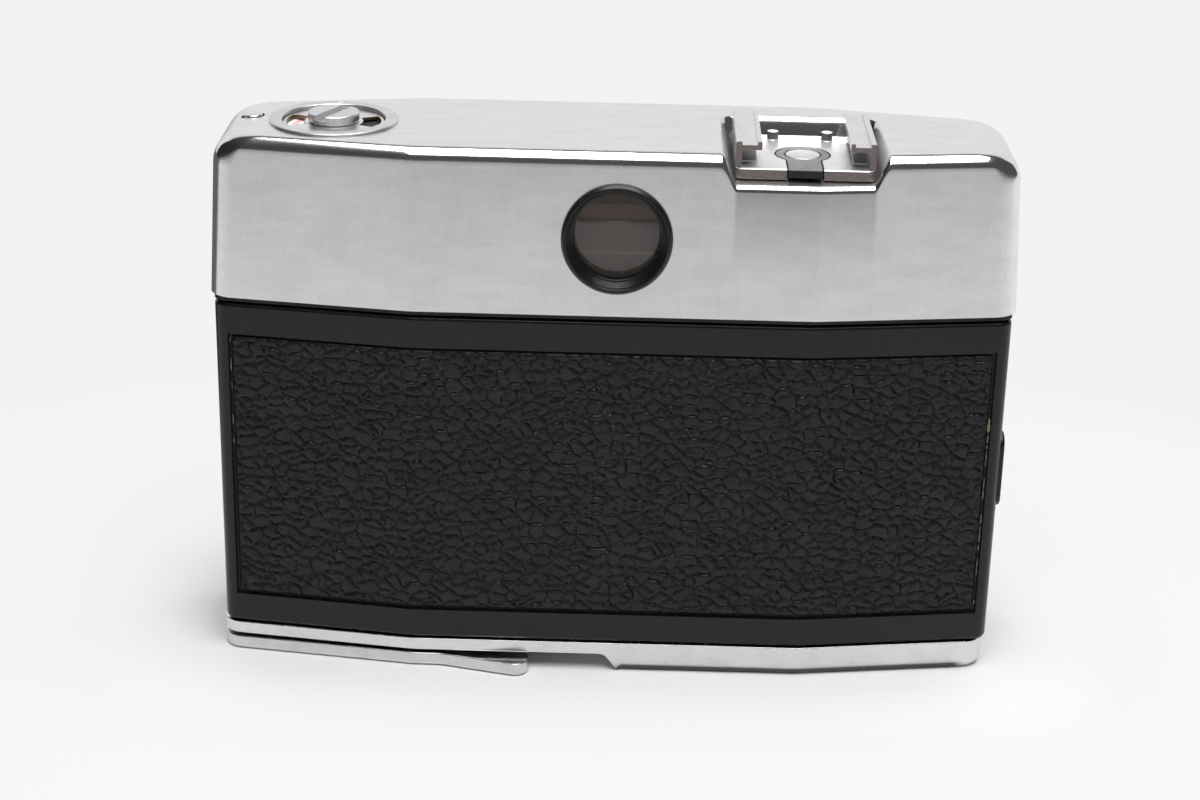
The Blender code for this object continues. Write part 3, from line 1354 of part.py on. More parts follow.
def build_lens_housing():
    """The fixed barrel: a tube into the body, the shutter's drum and the tube for the rings."""
    tail = housing_back + mount_tube_length
    profile = [(rear_lens_bore, depth(tail)), (mount_tube_radius, depth(tail)),
               (mount_tube_radius, depth(housing_back)),
               (housing_radius, depth(housing_back)), (housing_radius, depth(housing_front)),
               (tube_radius, depth(housing_front)), (tube_radius, depth(tube_front)),
               (lens_bore, depth(tube_front)), (lens_bore, depth(blade_front - stop_plate)),
               (stop_opening, depth(blade_front - stop_plate)), (stop_opening, depth(blade_front)),
               (shutter_room_radius, depth(blade_front)), (shutter_room_radius, depth(blade_back)),
               (stop_opening, depth(blade_back)), (stop_opening, depth(blade_back + stop_plate)),
               (rear_lens_bore, depth(blade_back + stop_plate))]
    housing = add_mesh("lens_housing", turned(profile, lens_centre, "Y"), "satin_chrome")
    for name, turn in (("upper", 1), ("lower", -1)):
        hole = disc(shutter_pin_radius + running, depth(blade_back + shutter_pin), depth(blade_back - past),
                    (0.0, 0.0, axis_z + turn * shutter_pivot), "Y", 16)
        cut(housing, hole, name + "_blade_hole")
    return housing


def build_shutter_blade(name, side, layer):
    """A thin blade over half of the light path, on a pin in the housing."""
    pivot_z = axis_z + side * shutter_pivot
    face = blade_back - shutter_blade_gap - layer * (shutter_blade_thickness + running)
    outline = []
    for k in range(13):
        turn = math.pi * k / 12
        outline.append((blade_radius * math.cos(turn),
                        axis_z + side * blade_radius * math.sin(turn) - side * blade_lap))
    blade = add_mesh(f"shutter_blade_{name}", slab(outline, face - shutter_blade_thickness, face), "steel",
                     (0.0, face, pivot_z))
    arm = box((-blade_arm / 2, face - shutter_blade_thickness,
               min(pivot_z, axis_z + side * blade_radius / 2)),
              (blade_arm / 2, face, max(pivot_z, axis_z + side * blade_radius / 2)))
    join(blade, arm, "arm")
    eye = disc(shutter_pin_radius + blade_arm / 2, depth(face), depth(face - shutter_blade_thickness),
               (0.0, 0.0, pivot_z), "Y", 16)
    join(blade, eye, "eye")
    pin = disc(shutter_pin_radius, depth(blade_back + shutter_pin - running),
               depth(face - shutter_blade_thickness / 2),
               (0.0, 0.0, pivot_z), "Y", 16)
    join(blade, pin, "pin")
    return blade


def build_ring(name, back, width, radius, knurls, knurl_depth):
    """A ring that turns on the housing's tube, with a knurled rim."""
    inner = tube_radius + running
    face = back - width
    steps = knurls * 4
    rows = []
    for reach, y, rough in ((inner, back, 0), (radius - knurl_depth, back, 0), (radius, back - rim_bevel, 1),
                            (radius, face + rim_bevel, 1), (radius - knurl_depth, face, 0), (inner, face, 0)):
        row = []
        for k in range(steps):
            turn = 2 * math.pi * k / steps
            drop = knurl_depth if rough and k % 4 in (2, 3) else 0.0
            row.append(((reach - drop) * math.cos(turn), y, axis_z + (reach - drop) * math.sin(turn)))
        rows.append(row)
    bm = loft(rows, closed=True)
    return add_mesh(name, bm, "black_enamel", (0.0, back, axis_z))


def build_lens_front_ring():
    back = tube_front - seat
    face = back - front_ring_length
    profile = [(front_lens_mouth, depth(back)), (front_ring_radius, depth(back)),
               (front_ring_radius, depth(face + rim_bevel)), (front_ring_radius - rim_bevel, depth(face)),
               (front_ring_mouth, depth(face)), (front_lens_mouth, depth(back - front_ring_floor))]
    return add_mesh("lens_front_ring", turned(profile, lens_centre, "Y"), "black_enamel")


def lens_element(name, radius, back, thickness, bulge):
    """A glass disc whose outer face bulges towards -Y."""
    face = back - thickness
    profile = [(0.0, depth(back)), (radius, depth(back)), (radius, depth(face))]
    for share in (0.8, 0.6, 0.4, 0.2):
        profile.append((radius * share, depth(face - bulge * (1.0 - share ** 2))))
    profile.append((0.0, depth(face - bulge)))
    return add_mesh(name, turned(profile, lens_centre, "Y", 32), "glass")


# ================================================================ the whole camera
build_top_cover()
build_body_casting()
build_back_door()
build_door_leatherette()
build_door_latch()
build_pressure_plate()
build_pressure_spring()
build_hinge_pin()
build_film_gate()
build_take_up_spool()
build_film_sprocket()
build_wind_shaft()
build_wind_lever()
build_wind_screw()
build_base_plate()
build_base_screws()
build_tripod_bush()
build_rewind_fork()
build_rewind_knob()
build_rewind_crank()
build_counter_bezel()
build_counter_plate()
build_counter_dial()
build_counter_hub()
build_top_button()
build_shoe_base()
for rail_name, rail_side in (("left", 1), ("right", -1)):
    build_shoe_rail(rail_name, rail_side)
    build_shoe_spring(rail_name, rail_side)
build_shoe_insulator()
build_shoe_contact()
build_eyepiece_ring()
build_eyepiece_lens()
build_finder_tube()
build_finder_lens()
build_finder_window()
build_front_leatherettes()
build_front_plate()
build_shutter_release()
build_lens_housing()
build_shutter_blade("upper", 1, 0)
build_shutter_blade("lower", -1, 1)
build_ring("aperture_ring", aperture_back, aperture_ring_width, aperture_ring_radius, aperture_knurls,
           aperture_knurl_depth)
build_ring("focus_ring", focus_back, focus_ring_width, focus_ring_radius, focus_knurls, focus_knurl_depth)
build_lens_front_ring()
lens_element("front_lens", front_lens_radius, tube_front + front_lens_thickness, front_lens_thickness,
             front_lens_bulge)
lens_element("rear_lens", rear_lens_radius, rear_lens_back, rear_lens_thickness, rear_lens_bulge)
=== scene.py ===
import json
from math import atan, cos, hypot, pi, radians, sin, sqrt, tan

import bmesh
import bpy
import numpy as np
from mathutils import Matrix, Vector

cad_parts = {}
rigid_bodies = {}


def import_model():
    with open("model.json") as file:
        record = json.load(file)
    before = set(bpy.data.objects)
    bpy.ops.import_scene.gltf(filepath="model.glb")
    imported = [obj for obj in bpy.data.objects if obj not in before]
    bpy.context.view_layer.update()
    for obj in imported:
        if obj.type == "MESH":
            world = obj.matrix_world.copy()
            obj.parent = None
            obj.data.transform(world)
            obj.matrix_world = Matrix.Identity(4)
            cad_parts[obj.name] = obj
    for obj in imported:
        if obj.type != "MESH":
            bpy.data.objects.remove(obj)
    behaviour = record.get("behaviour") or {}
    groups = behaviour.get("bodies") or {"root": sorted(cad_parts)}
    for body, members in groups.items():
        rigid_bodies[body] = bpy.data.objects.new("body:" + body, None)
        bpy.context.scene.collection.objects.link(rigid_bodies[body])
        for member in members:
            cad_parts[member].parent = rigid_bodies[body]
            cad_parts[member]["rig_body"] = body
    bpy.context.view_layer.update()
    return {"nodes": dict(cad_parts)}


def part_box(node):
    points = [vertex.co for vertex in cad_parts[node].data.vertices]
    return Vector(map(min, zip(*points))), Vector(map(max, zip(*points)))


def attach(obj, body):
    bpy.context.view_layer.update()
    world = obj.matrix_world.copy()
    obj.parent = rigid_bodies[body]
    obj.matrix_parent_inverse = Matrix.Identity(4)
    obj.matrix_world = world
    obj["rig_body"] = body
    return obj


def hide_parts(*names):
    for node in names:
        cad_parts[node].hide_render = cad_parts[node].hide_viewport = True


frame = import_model()

MM = 0.001
SAME = 1e-6  # points closer than this are one
UP, FORWARD = (0, 0, 1), (0, -1, 0)


# ======== measures taken from the frame
def low(node):
    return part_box(node)[0]


def high(node):
    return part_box(node)[1]


def centre(node):
    return (low(node) + high(node)) / 2


def radius(node):
    """Half of a round node's width along X."""
    return (high(node).x - low(node).x) / 2


rear_y, front_y = high("top_cover").y, low("top_cover").y
cover_bottom, cover_top = low("top_cover").z, high("top_cover").z
cover_half = high("top_cover").x
mid_y = centre("wind_shaft").y
axis_z = centre("focus_ring").z

# Seen from above, the body has a middle facet, and one at each end that falls back from it.
crease_x = 29.1 * MM  # where the middle facet ends
crease_soft = 0.7 * MM  # half of the rounding along the crease
rear_slope = 0.147
front_slope = 0.195


# ======== finishes
NOISE_SPAN = (0.3, 0.7)  # where most of a noise's values lie
finishes = {}  # by the record's slot, or else by the material's name


def add_node(tree, kind, **inputs):
    """A shader node with these inputs: a value, or another node's output. _0 stands for the first input."""
    node = tree.nodes.new("ShaderNode" + kind)
    for socket, value in inputs.items():
        target = node.inputs[int(socket[1:]) if socket[0] == "_" else socket.replace("_", " ")]
        if isinstance(value, bpy.types.NodeSocket):
            tree.links.new(value, target)
        else:
            target.default_value = value
    return node


class Finish:
    """A material in the making: one Principled shader fed by procedural nodes. Its sizes are in mm."""

    def __init__(self, name, colour, metallic, roughness, slot=None, **values):
        self.material = finishes[slot or name] = bpy.data.materials.new(name)
        self.material.use_nodes = True
        self.tree = self.material.node_tree
        self.shader = self.tree.nodes["Principled BSDF"]
        self.colour = colour
        self.base_roughness = roughness
        self.place = self.add("TexCoord").outputs["Object"]
        values.update(Base_Color=(*colour, 1.0), Metallic=metallic, Roughness=roughness)
        for socket, value in values.items():
            self.shader.inputs[socket.replace("_", " ")].default_value = value

    def add(self, kind, **inputs):
        return add_node(self.tree, kind, **inputs)

    def sum(self, a, b, operation="ADD"):
        node = self.add("Math", _0=a, _1=b)
        node.operation = operation
        return node.outputs["Value"]

    def feed(self, socket, value):
        self.tree.links.new(value, self.shader.inputs[socket])

    def noise(self, size, detail, rough=0.5, stretch=None):
        """Cloudy noise whose features are about this size."""
        place = self.place
        if stretch:
            place = self.add("Mapping", Vector=place, Scale=stretch).outputs["Vector"]
        return self.add("TexNoise", Vector=place, Scale=1.0 / (size * MM), Detail=detail,
                        Roughness=rough).outputs["Fac"]

    def remap(self, value, start, end, to_start=0.0, to_end=1.0):
        return self.add("MapRange", Value=value, From_Min=start, From_Max=end, To_Min=to_start,
                        To_Max=to_end).outputs["Result"]

    def roughen(self, value, spread):
        """Roughness varies by this much each way around its base."""
        base = self.base_roughness
        self.feed("Roughness", self.remap(value, *NOISE_SPAN, base - spread, base + spread))

    def tint(self, value, other, start=NOISE_SPAN[0], end=NOISE_SPAN[1]):
        """The colour turns into another one as value goes from start to end."""
        node = self.add("Mix", _0=self.remap(value, start, end))
        node.data_type = "RGBA"
        node.inputs[6].default_value = (*self.colour, 1.0)
        node.inputs[7].default_value = (*other, 1.0)
        self.feed("Base Color", node.outputs[2])

    def emboss(self, value, depth):
        bump = self.add("Bump", Height=value, Strength=1.0, Distance=depth * MM)
        self.feed("Normal", bump.outputs["Normal"])


def usual(name, colour, metallic, roughness, spread, cloud, other, depth, tint=None, bump=None, streaks=None,
          span=NOISE_SPAN, **values):
    """A finish in which noises, given as Finish.noise takes them, move roughness, colour and bump.

    cloud moves the roughness by spread, with streaks, a noise and its share, over it. tint takes the colour
    to the other one, and bump stands depth high. Unless they are given, both are the cloud as well.
    """
    finish = Finish(name, colour, metallic, roughness, **values)
    tint, bump = tint or cloud, bump or cloud
    streak, share = streaks or (cloud, 0.0)
    made = {noise: finish.noise(*noise) for noise in dict.fromkeys((cloud, tint, bump, streak))}
    rough = made[cloud]
    if streaks:
        rough = finish.sum(rough, finish.remap(made[streak], *NOISE_SPAN, -share, share))
    finish.roughen(rough, spread)
    if other:
        finish.tint(made[tint], other, *span)
    finish.emboss(made[bump], depth)


def satin_chrome(name, slot=None, rubbed_edges=False):
    """Brushed satin plating. With rubbed_edges, what is rounded next to the rear face is polished bright."""
    finish = Finish(name, (0.85, 0.84, 0.844), 1.0, 0.31, slot)
    wear = finish.noise(2.4, 3, 0.6, (0.35, 1.0, 1.0))
    for brushed in ((1.0, 1.0, 0.08), (0.06, 1.0, 1.0)):
        wear = finish.sum(wear, finish.remap(finish.noise(0.5, 3, 0.6, brushed), *NOISE_SPAN, -0.1, 0.1))
    finish.roughen(finish.noise(8, 2), 0.02)
    if rubbed_edges:
        normal = finish.add("SeparateXYZ", Vector=finish.add("TexCoord").outputs["Normal"]).outputs
        level, upright = finish.remap(normal["Z"], 0.12, 0.3), finish.remap(normal["Y"], 0.8, 0.6)
        edge = finish.sum(level, upright, "MAXIMUM")
        edge = finish.sum(finish.remap(normal["Y"], 0.2, 0.42), edge, "MULTIPLY")
        satin = finish.shader.inputs["Roughness"].links[0].from_socket
        finish.feed("Roughness", finish.sum(satin, finish.remap(edge, 0.0, 1.0, 1.0, 0.4), "MULTIPLY"))
    finish.tint(wear, (0.775, 0.764, 0.766))
    finish.emboss(finish.noise(0.2, 2), 0.002)


def black_casting():
    finish = Finish("black_crinkle_paint", (0.009, 0.009, 0.0095), 0.0, 0.6, "black_casting",
                    Specular_IOR_Level=0.3)
    crinkle = finish.add("TexVoronoi", Vector=finish.place, Scale=1.0 / (0.55 * MM)).outputs["Distance"]
    finish.roughen(finish.noise(4, 2), 0.1)
    finish.tint(crinkle, (0.018, 0.018, 0.019), 0.1, 0.6)
    finish.emboss(crinkle, 0.05)


def leatherette():
    """Black leatherette with specks of dust and paler patches."""
    finish = Finish("black_leatherette", (0.0072, 0.0073, 0.008), 0.0, 0.4, "leatherette",
                    Specular_IOR_Level=0.29)
    finish.roughen(finish.noise(3, 3), 0.1)
    dust = finish.remap(finish.noise(0.45, 3, 0.7), 0.715, 0.76)
    patchy = finish.remap(finish.noise(5, 4), *NOISE_SPAN, 0.0, 0.035)
    finish.tint(finish.sum(dust, patchy, "MAXIMUM"), (0.16, 0.155, 0.14), 0.0, 1.0)
    finish.emboss(finish.noise(0.3, 3, 0.6), 0.012)


satin_chrome("satin_chrome_plate", "satin_chrome")
satin_chrome("cover_satin_chrome", rubbed_edges=True)
black_casting()
leatherette()

# Metal.
fine_scratches = (0.35, 3, 0.7, (0.12, 0.5, 1.0))
usual("bright_chrome_plate", (0.78, 0.785, 0.79), 1.0, 0.18, 0.07, (5, 3), (0.66, 0.665, 0.67), 0.001,
      bump=fine_scratches, streaks=(fine_scratches, 0.15), slot="bright_chrome")
usual("base_plate_chrome", (0.74, 0.745, 0.75), 1.0, 0.24, 0.06, (6, 3), (0.69, 0.695, 0.70), 0.003,
      bump=(0.25, 3), streaks=((0.5, 3, 0.7, (0.12, 1.0, 1.0)), 0.12))
usual("lever_chrome", (0.70, 0.705, 0.715), 1.0, 0.2, 0.08, (2.5, 4, 0.65), (0.60, 0.605, 0.61), 0.004,
      bump=(0.2, 3))
# The second is a darker copy of the same finish for the sides of the shoe's stops: painted shade.
for name, colour, roughness in (("turned_chrome", (0.74, 0.745, 0.755), 0.33),
                                ("stop_side_shade", (0.36, 0.365, 0.375), 0.3)):
    darker = [0.86 * share for share in colour]
    usual(name, colour, 1.0, roughness, 0.05, (1.6, 2), darker, 0.0008, (3, 3), (0.4, 2))
usual("turned_steel", (0.5, 0.5, 0.495), 1.0, 0.34, 0.1, (1.2, 4, 0.65), (0.42, 0.41, 0.40), 0.004, (4, 3),
      slot="steel")
usual("worn_nickel_plate", (0.80, 0.81, 0.825), 1.0, 0.3, 0.05, (2.2, 2), (0.71, 0.71, 0.715), 0.001,
      (1.6, 3, 0.6, (1.0, 0.3, 1.0)), (0.5, 2, 0.5, (1.0, 0.2, 1.0)))
usual("satin_nickel_plate", (0.78, 0.785, 0.80), 1.0, 0.44, 0.04, (3, 2), (0.70, 0.70, 0.71), 0.0015,
      (2, 3, 0.6), (0.3, 2))
usual("cut_steel_edge", (0.17, 0.14, 0.132), 0.6, 0.5, 0.12, (0.3, 4, 0.7, (0.5, 1.0, 1.5)),
      (0.34, 0.30, 0.29), 0.02, span=(0.45, 0.75))
usual("contact_silver", (0.66, 0.665, 0.68), 1.0, 0.42, 0.04, (1.2, 3, 0.6), (0.58, 0.585, 0.6), 0.0008,
      bump=(0.3, 2))
usual("aged_brass", (0.40, 0.32, 0.19), 1.0, 0.4, 0.12, (0.5, 4, 0.7), (0.20, 0.16, 0.10), 0.01)

# Paint, plastic and glue.
usual("black_enamel_paint", (0.0055, 0.0055, 0.006), 0.0, 0.27, 0.07, (7, 3), (0.008, 0.008, 0.0086), 0.003,
      (1.6, 4, 0.6), (0.5, 2), slot="black_enamel", Specular_IOR_Level=0.32)
usual("black_moulding", (0.006, 0.006, 0.0062), 0.0, 0.3, 0.08, (2.5, 3), (0.010, 0.010, 0.0102), 0.0012,
      (1.5, 3), (0.5, 2), slot="black_plastic", Specular_IOR_Level=0.35)
# The leatherette's creases: a darker copy of it, painted shade, also rougher and less shiny.
usual("leatherette_crease_shade", (0.0042, 0.0042, 0.0045), 0.0, 0.6, 0.08, (1.5, 2), (0.006, 0.006, 0.0064), 0.004,
      Specular_IOR_Level=0.17)
usual("grey_insulation", (0.11, 0.11, 0.115), 0.0, 0.38, 0.08, (1.2, 3), (0.145, 0.145, 0.15), 0.004,
      (0.8, 4, 0.6), (0.15, 2), slot="grey_plastic")
usual("dial_paint", (0.80, 0.79, 0.76), 0.0, 0.5, 0.08, (1.5, 3), (0.70, 0.68, 0.63), 0.003, (2.5, 4, 0.6),
      (0.2, 2), slot="white_dial")
usual("engraving_paint", (0.62, 0.62, 0.60), 0.0, 0.5, 0.1, (0.4, 3), (0.50, 0.50, 0.48), 0.003)
for name, colour in (("black_ink", (0.015, 0.015, 0.016)), ("red_ink", (0.55, 0.03, 0.02))):
    paler = [share * 1.4 + 0.01 for share in colour]
    usual(name, colour, 0.0, 0.5, 0.1, (0.6, 3), paler, 0.003, (0.3, 3), (0.1, 2))
usual("dried_glue", (0.17, 0.145, 0.07), 0.0, 0.45, 0.1, (0.3, 3), (0.17, 0.15, 0.08), 0.02)

# Glass, and what shows through the eyepiece. The finder's screen and band glow faintly: painted light in place
# of the light that comes through the finder.
usual("coated_glass", (0.34, 0.30, 0.27), 0.0, 0.04, 0.025, (3, 2), None, 0.002, bump=(6, 2), slot="glass",
      Transmission_Weight=0.85, IOR=1.5)
usual("lens_coating", (0.30, 0.28, 0.34), 0.0, 0.03, 0.02, (4, 2), None, 0.001, bump=(7, 2), IOR=1.52,
      Transmission_Weight=0.9, Coat_Weight=0.4, Coat_Roughness=0.04, Coat_Tint=(0.80, 0.76, 1.0, 1.0))
# Painted light: these two glow, though no lamp lights them.
usual("finder_screen_glow", (0.10, 0.098, 0.096), 0.0, 0.6, 0.06, (4, 2), (0.075, 0.073, 0.07), 0.004,
      Emission_Color=(0.55, 0.56, 0.6, 1.0), Emission_Strength=0.05)
usual("finder_band_glow", (0.22, 0.175, 0.15), 0.0, 0.6, 0.06, (1.5, 2, 0.5, (0.3, 1.0, 1.0)),
      (0.15, 0.12, 0.10), 0.004, Emission_Color=(0.6, 0.46, 0.4, 1.0), Emission_Strength=0.2)

for node in frame["nodes"].values():
    for slot in node.material_slots:
        slot.material = finishes[slot.material.name.split(".")[0]]


# ======== making pieces
def link_object(name, data):
    obj = bpy.data.objects.new(name, data)
    bpy.context.scene.collection.objects.link(obj)
    return obj


def mesh_of(name, bm):
    """A bmesh, which this uses up, as a mesh with its faces turned outwards."""
    mesh = bpy.data.meshes.new(name)
    bmesh.ops.recalc_face_normals(bm, faces=bm.faces)
    bm.to_mesh(mesh)
    bm.free()
    return mesh


def add_piece(name, bm, finish, node=None, body="camera", sharp=32.0):
    """A piece from a bmesh in the frame's coordinates. One that stands for a CAD node rides on its body."""
    mesh = mesh_of(name, bm)
    mesh.shade_smooth()
    mesh.set_sharp_from_angle(angle=radians(sharp))
    mesh.materials.append(finishes[finish])
    obj = link_object(name, mesh)
    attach(obj, frame["nodes"][node]["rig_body"] if node else body)
    if node:
        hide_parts(node)
    return obj


def even_normals(obj):
    """Large faces keep their own direction, and the small ones beside them carry the rounding."""
    modifier = obj.modifiers.new("even_normals", "WEIGHTED_NORMAL")
    modifier.keep_sharp = True


def drill(obj, bm):
    """Takes a solid away from a piece."""
    mesh = mesh_of("drill", bm)
    tool = link_object("drill", mesh)
    modifier = obj.modifiers.new("drill", "BOOLEAN")
    modifier.operation = "DIFFERENCE"
    modifier.solver = "EXACT"
    modifier.object = tool
    graph = bpy.context.evaluated_depsgraph_get()
    made = bpy.data.meshes.new_from_object(obj.evaluated_get(graph))
    obj.modifiers.clear()
    obj.data = made
    bpy.data.objects.remove(tool)
    bpy.data.meshes.remove(mesh)


def finish_faces(obj, finish, chosen):
    """Gives another finish to the faces that chosen(centre, normal) picks."""
    obj.data.materials.append(finishes[finish])
    for face in obj.data.polygons:
        if chosen(face.center, face.normal):
            face.material_index = len(obj.data.materials) - 1


def placed(at, turn=Matrix(), size=(1, 1, 1)):
    return Matrix.Translation(at) @ turn @ Matrix.Diagonal((*size, 1.0))


def towards(axis, top="X"):
    """The turn that points +Z along an axis."""
    return Vector(axis).to_track_quat("Z", top).to_matrix().to_4x4()


def block(at, size, turn=Matrix()):
    bm = bmesh.new()
    bmesh.ops.create_cube(bm, size=1.0, matrix=placed(at, turn, size))
    return bm


def add_rod(bm, middle, turn, size, length, segments):
    """Adds a plain round solid to a bmesh."""
    bmesh.ops.create_cone(bm, cap_ends=True, segments=segments, radius1=size, radius2=size, depth=length,
                          matrix=placed(middle, turn))
    return bm


def bridge(bm, a, b):
    """A closed band of faces between two rows of vertices."""
    for i in range(len(a)):
        j = (i + 1) % len(a)
        bm.faces.new((a[i], a[j], b[j], b[i]))


def flat_plate(corners, thickness):
    """A plate from its corners and its thickness, a vector."""
    bm = bmesh.new()
    rows = [[bm.verts.new(at + lift) for at in corners] for lift in (Vector(), thickness)]
    for row in rows:
        bm.faces.new(row)
    bridge(bm, *rows)
    return bm


def refined(node, finish, edge=0.15, segments=2, angle=30.0, name=None, wide=None,
            chosen=lambda at: False, clamp=True, reshape=None):
    """A copy of a CAD node, which stands for it, with its sharp edges rounded off by so many mm. The edges
    whose middle chosen picks are rounded off by wide instead. reshape may move the points first."""
    bm = bmesh.new()
    bm.from_mesh(frame["nodes"][node].data)
    bmesh.ops.remove_doubles(bm, verts=bm.verts, dist=SAME)
    for vert in bm.verts if reshape else ():
        vert.co = reshape(vert.co)
    bmesh.ops.dissolve_limit(bm, angle_limit=radians(0.6), verts=bm.verts, edges=bm.edges)
    sharp = [e for e in bm.edges if len(e.link_faces) == 2 and e.calc_face_angle() > radians(angle)]
    picks = [chosen((e.verts[0].co + e.verts[1].co) / 2) for e in sharp]
    for choice, size in ((True, wide), (False, edge)):
        group = [e for e, pick in zip(sharp, picks) if pick == choice and e.is_valid]
        if group:
            bmesh.ops.bevel(bm, geom=group, offset=size * MM, segments=segments, profile=0.5, affect="EDGES",
                            clamp_overlap=clamp)
    piece = add_piece(name or node + "_piece", bm, finish, node)
    even_normals(piece)
    return piece


# ======== leatherette
TABLE = 256  # random values along each side of a table, which then repeats
pebble = 2.2 * MM  # size of the leatherette's grain
small_pebble = 1.15 * MM
grain_depth = 0.42 * MM
shaded_crease_level = 0.76  # how far down, as a share of its depth, the grain turns into crease, whose faces take a darker finish: painted shade
leather_step = 0.22 * MM  # spacing of its points
leather_thickness = 0.5 * MM
leather_edge = 0.45 * MM  # how far in from its border it rounds over
leather_corner = 1.0 * MM
leather_gap = 0.26 * MM  # between the sheet and the edge of its recess


def random_table(seed):
    return np.random.default_rng(seed).random((TABLE, TABLE, 2))


def cell_borders(a, b, seed, jitter):
    """Twice each point's distance from the nearest border between the random cells around it, in cells."""
    table = random_table(seed)
    column, row = np.floor(a).astype(int), np.floor(b).astype(int)
    middles = []
    for step_a in range(-2, 3):
        for step_b in range(-2, 3):
            spot = table[(column + step_a) % TABLE, (row + step_b) % TABLE]
            middles.append(np.stack([column + step_a + 0.5 + (spot[..., 0] - 0.5) * jitter - a,
                                     row + step_b + 0.5 + (spot[..., 1] - 0.5) * jitter - b]))
    own = middles[0]
    for middle in middles:
        own = np.where((middle ** 2).sum(0) < (own ** 2).sum(0), middle, own)
    border = np.full(a.shape, np.inf)
    for middle in middles:
        apart = np.hypot(*(middle - own))
        away = ((middle ** 2).sum(0) - (own ** 2).sum(0)) / np.maximum(apart, SAME)
        border = np.where(apart > SAME, np.minimum(border, away), border)
    return border


def clouds(a, b, seed, octaves=3):
    """Smooth random heights from about -1 to 1."""
    table = random_table(seed)[..., 0] * 2 - 1
    total, weight = 0.0, 1.0
    for _ in range(octaves):
        column, row = np.floor(a).astype(int), np.floor(b).astype(int)
        s, t = ease(a - column, 0, 1), ease(b - row, 0, 1)
        corner = [[table[(column + i) % TABLE, (row + j) % TABLE] for j in (0, 1)] for i in (0, 1)]
        total = total + weight * ((corner[0][0] * (1 - s) + corner[1][0] * s) * (1 - t)
                                  + (corner[0][1] * (1 - s) + corner[1][1] * s) * t)
        a, b, weight = a * 2.03 + 17.3, b * 2.03 + 9.1, weight * 0.5
    return total


def ease(value, start, end):
    t = np.clip((value - start) / (end - start), 0.0, 1.0)
    return t * t * (3 - 2 * t)


def grain(across, up, seed):
    """Height of the grain, from 0 in the creases to 1 on the flat tops of the pebbles."""
    def field(width, height, step, octaves=3):
        return clouds(across / (width * MM), up / (height * MM), seed + step, octaves)

    a = across + field(1.9, 1.3, 1) * 0.5 * MM
    b = (up + field(2.1, 1.5, 2) * 0.34 * MM) * 1.35
    islands = ease(cell_borders(a / pebble, b / pebble, seed + 3, 1.0), 0.0, 0.32)
    folds = ease(cell_borders(a / small_pebble, b / small_pebble, seed + 4, 0.9), 0.0, 0.3)
    broken = ease(field(2.8, 2.2, 5), -0.2, 0.45)
    tops = 0.88 + 0.1 * field(2.4, 1.7, 7, 2)
    return islands * tops * (1 - (0.12 + 0.5 * broken) * (1 - folds)) + 0.03 * field(0.6, 0.6, 6, 2)


def facet(x):
    """How far outside the middle facet x lies, eased over the crease."""
    out = np.abs(x) - crease_x
    eased = (out + crease_soft) ** 2 / (4 * crease_soft)
    return np.where(out > crease_soft, out, np.where(out < -crease_soft, 0.0, eased))


def outside(a, b):
    """Distance out of a corner, from the distances past its two sides."""
    return np.hypot(np.maximum(a, 0), np.maximum(b, 0)) + np.minimum(np.maximum(a, b), 0)


def leather_sheet(node, side, slope, seed):
    """A grained sheet over a CAD leatherette, along the facets at the back (side 1) or front (side -1)."""
    gap = Vector((leather_gap, 0, leather_gap))
    start, end = low(node) + gap, high(node) - gap
    x, z = np.meshgrid(*(np.linspace(a, b, round((b - a) / leather_step) + 1)
                         for a, b in ((start.x, end.x), (start.z, end.z))), indexing="ij")
    off_x, off_z = x - (start.x + end.x) / 2, z - (start.z + end.z) / 2
    inwards = leather_corner - outside(np.abs(off_x) - (end.x - start.x) / 2 + leather_corner,
                                       np.abs(off_z) - (end.z - start.z) / 2 + leather_corner)
    nearest = 0.0 if start.x < 0 < end.x else min(abs(start.x), abs(end.x))
    face = (end.y if side > 0 else start.y) + side * slope * facet(nearest)
    drop = grain_depth * (1 - grain(x, z, seed) * ease(inwards, 0.0, leather_edge))
    y = face - side * (slope * facet(x) + np.clip(drop, -0.02 * MM, leather_thickness * 0.9))
    back = face - side * (slope * facet(x) + leather_thickness)
    pull = np.clip(-inwards, 0, None) / leather_corner * 0.24 * MM    # rounds the corners
    bm = shell_of(x - np.sign(off_x) * pull, y, z - np.sign(off_z) * pull, back)
    # Faces deep in the creases take the darker crease finish: painted shade.
    crease = drop > shaded_crease_level * grain_depth
    for quad, deep in zip(bm.faces, (crease[:-1, :-1] & crease[1:, 1:]).ravel()):
        quad.material_index = int(deep)
    piece = add_piece(node + "_grained", bm, "leatherette", node, sharp=75.0)
    piece.data.materials.append(finishes["leatherette_crease_shade"])


def shell_of(x, y, z, back):
    """A closed sheet from a grid of points and the depth of its back."""
    columns, rows = x.shape
    front = np.stack([x, y, z], -1).reshape(-1, 3)
    rear = np.stack([x, back, z], -1).reshape(-1, 3)
    index = np.arange(columns * rows).reshape(columns, rows)
    border = np.concatenate([index[:, 0], index[-1, 1:], index[-2::-1, -1], index[0, -2:0:-1]])
    bm = bmesh.new()
    points = [bm.verts.new(p) for p in front]
    rim = [bm.verts.new(rear[i]) for i in border]
    for c in range(columns - 1):
        for r in range(rows - 1):
            corners = index[c, r], index[c + 1, r], index[c + 1, r + 1], index[c, r + 1]
            bm.faces.new([points[i] for i in corners])
    bridge(bm, [points[i] for i in border], rim)
    bm.faces.new(rim)
    return bm


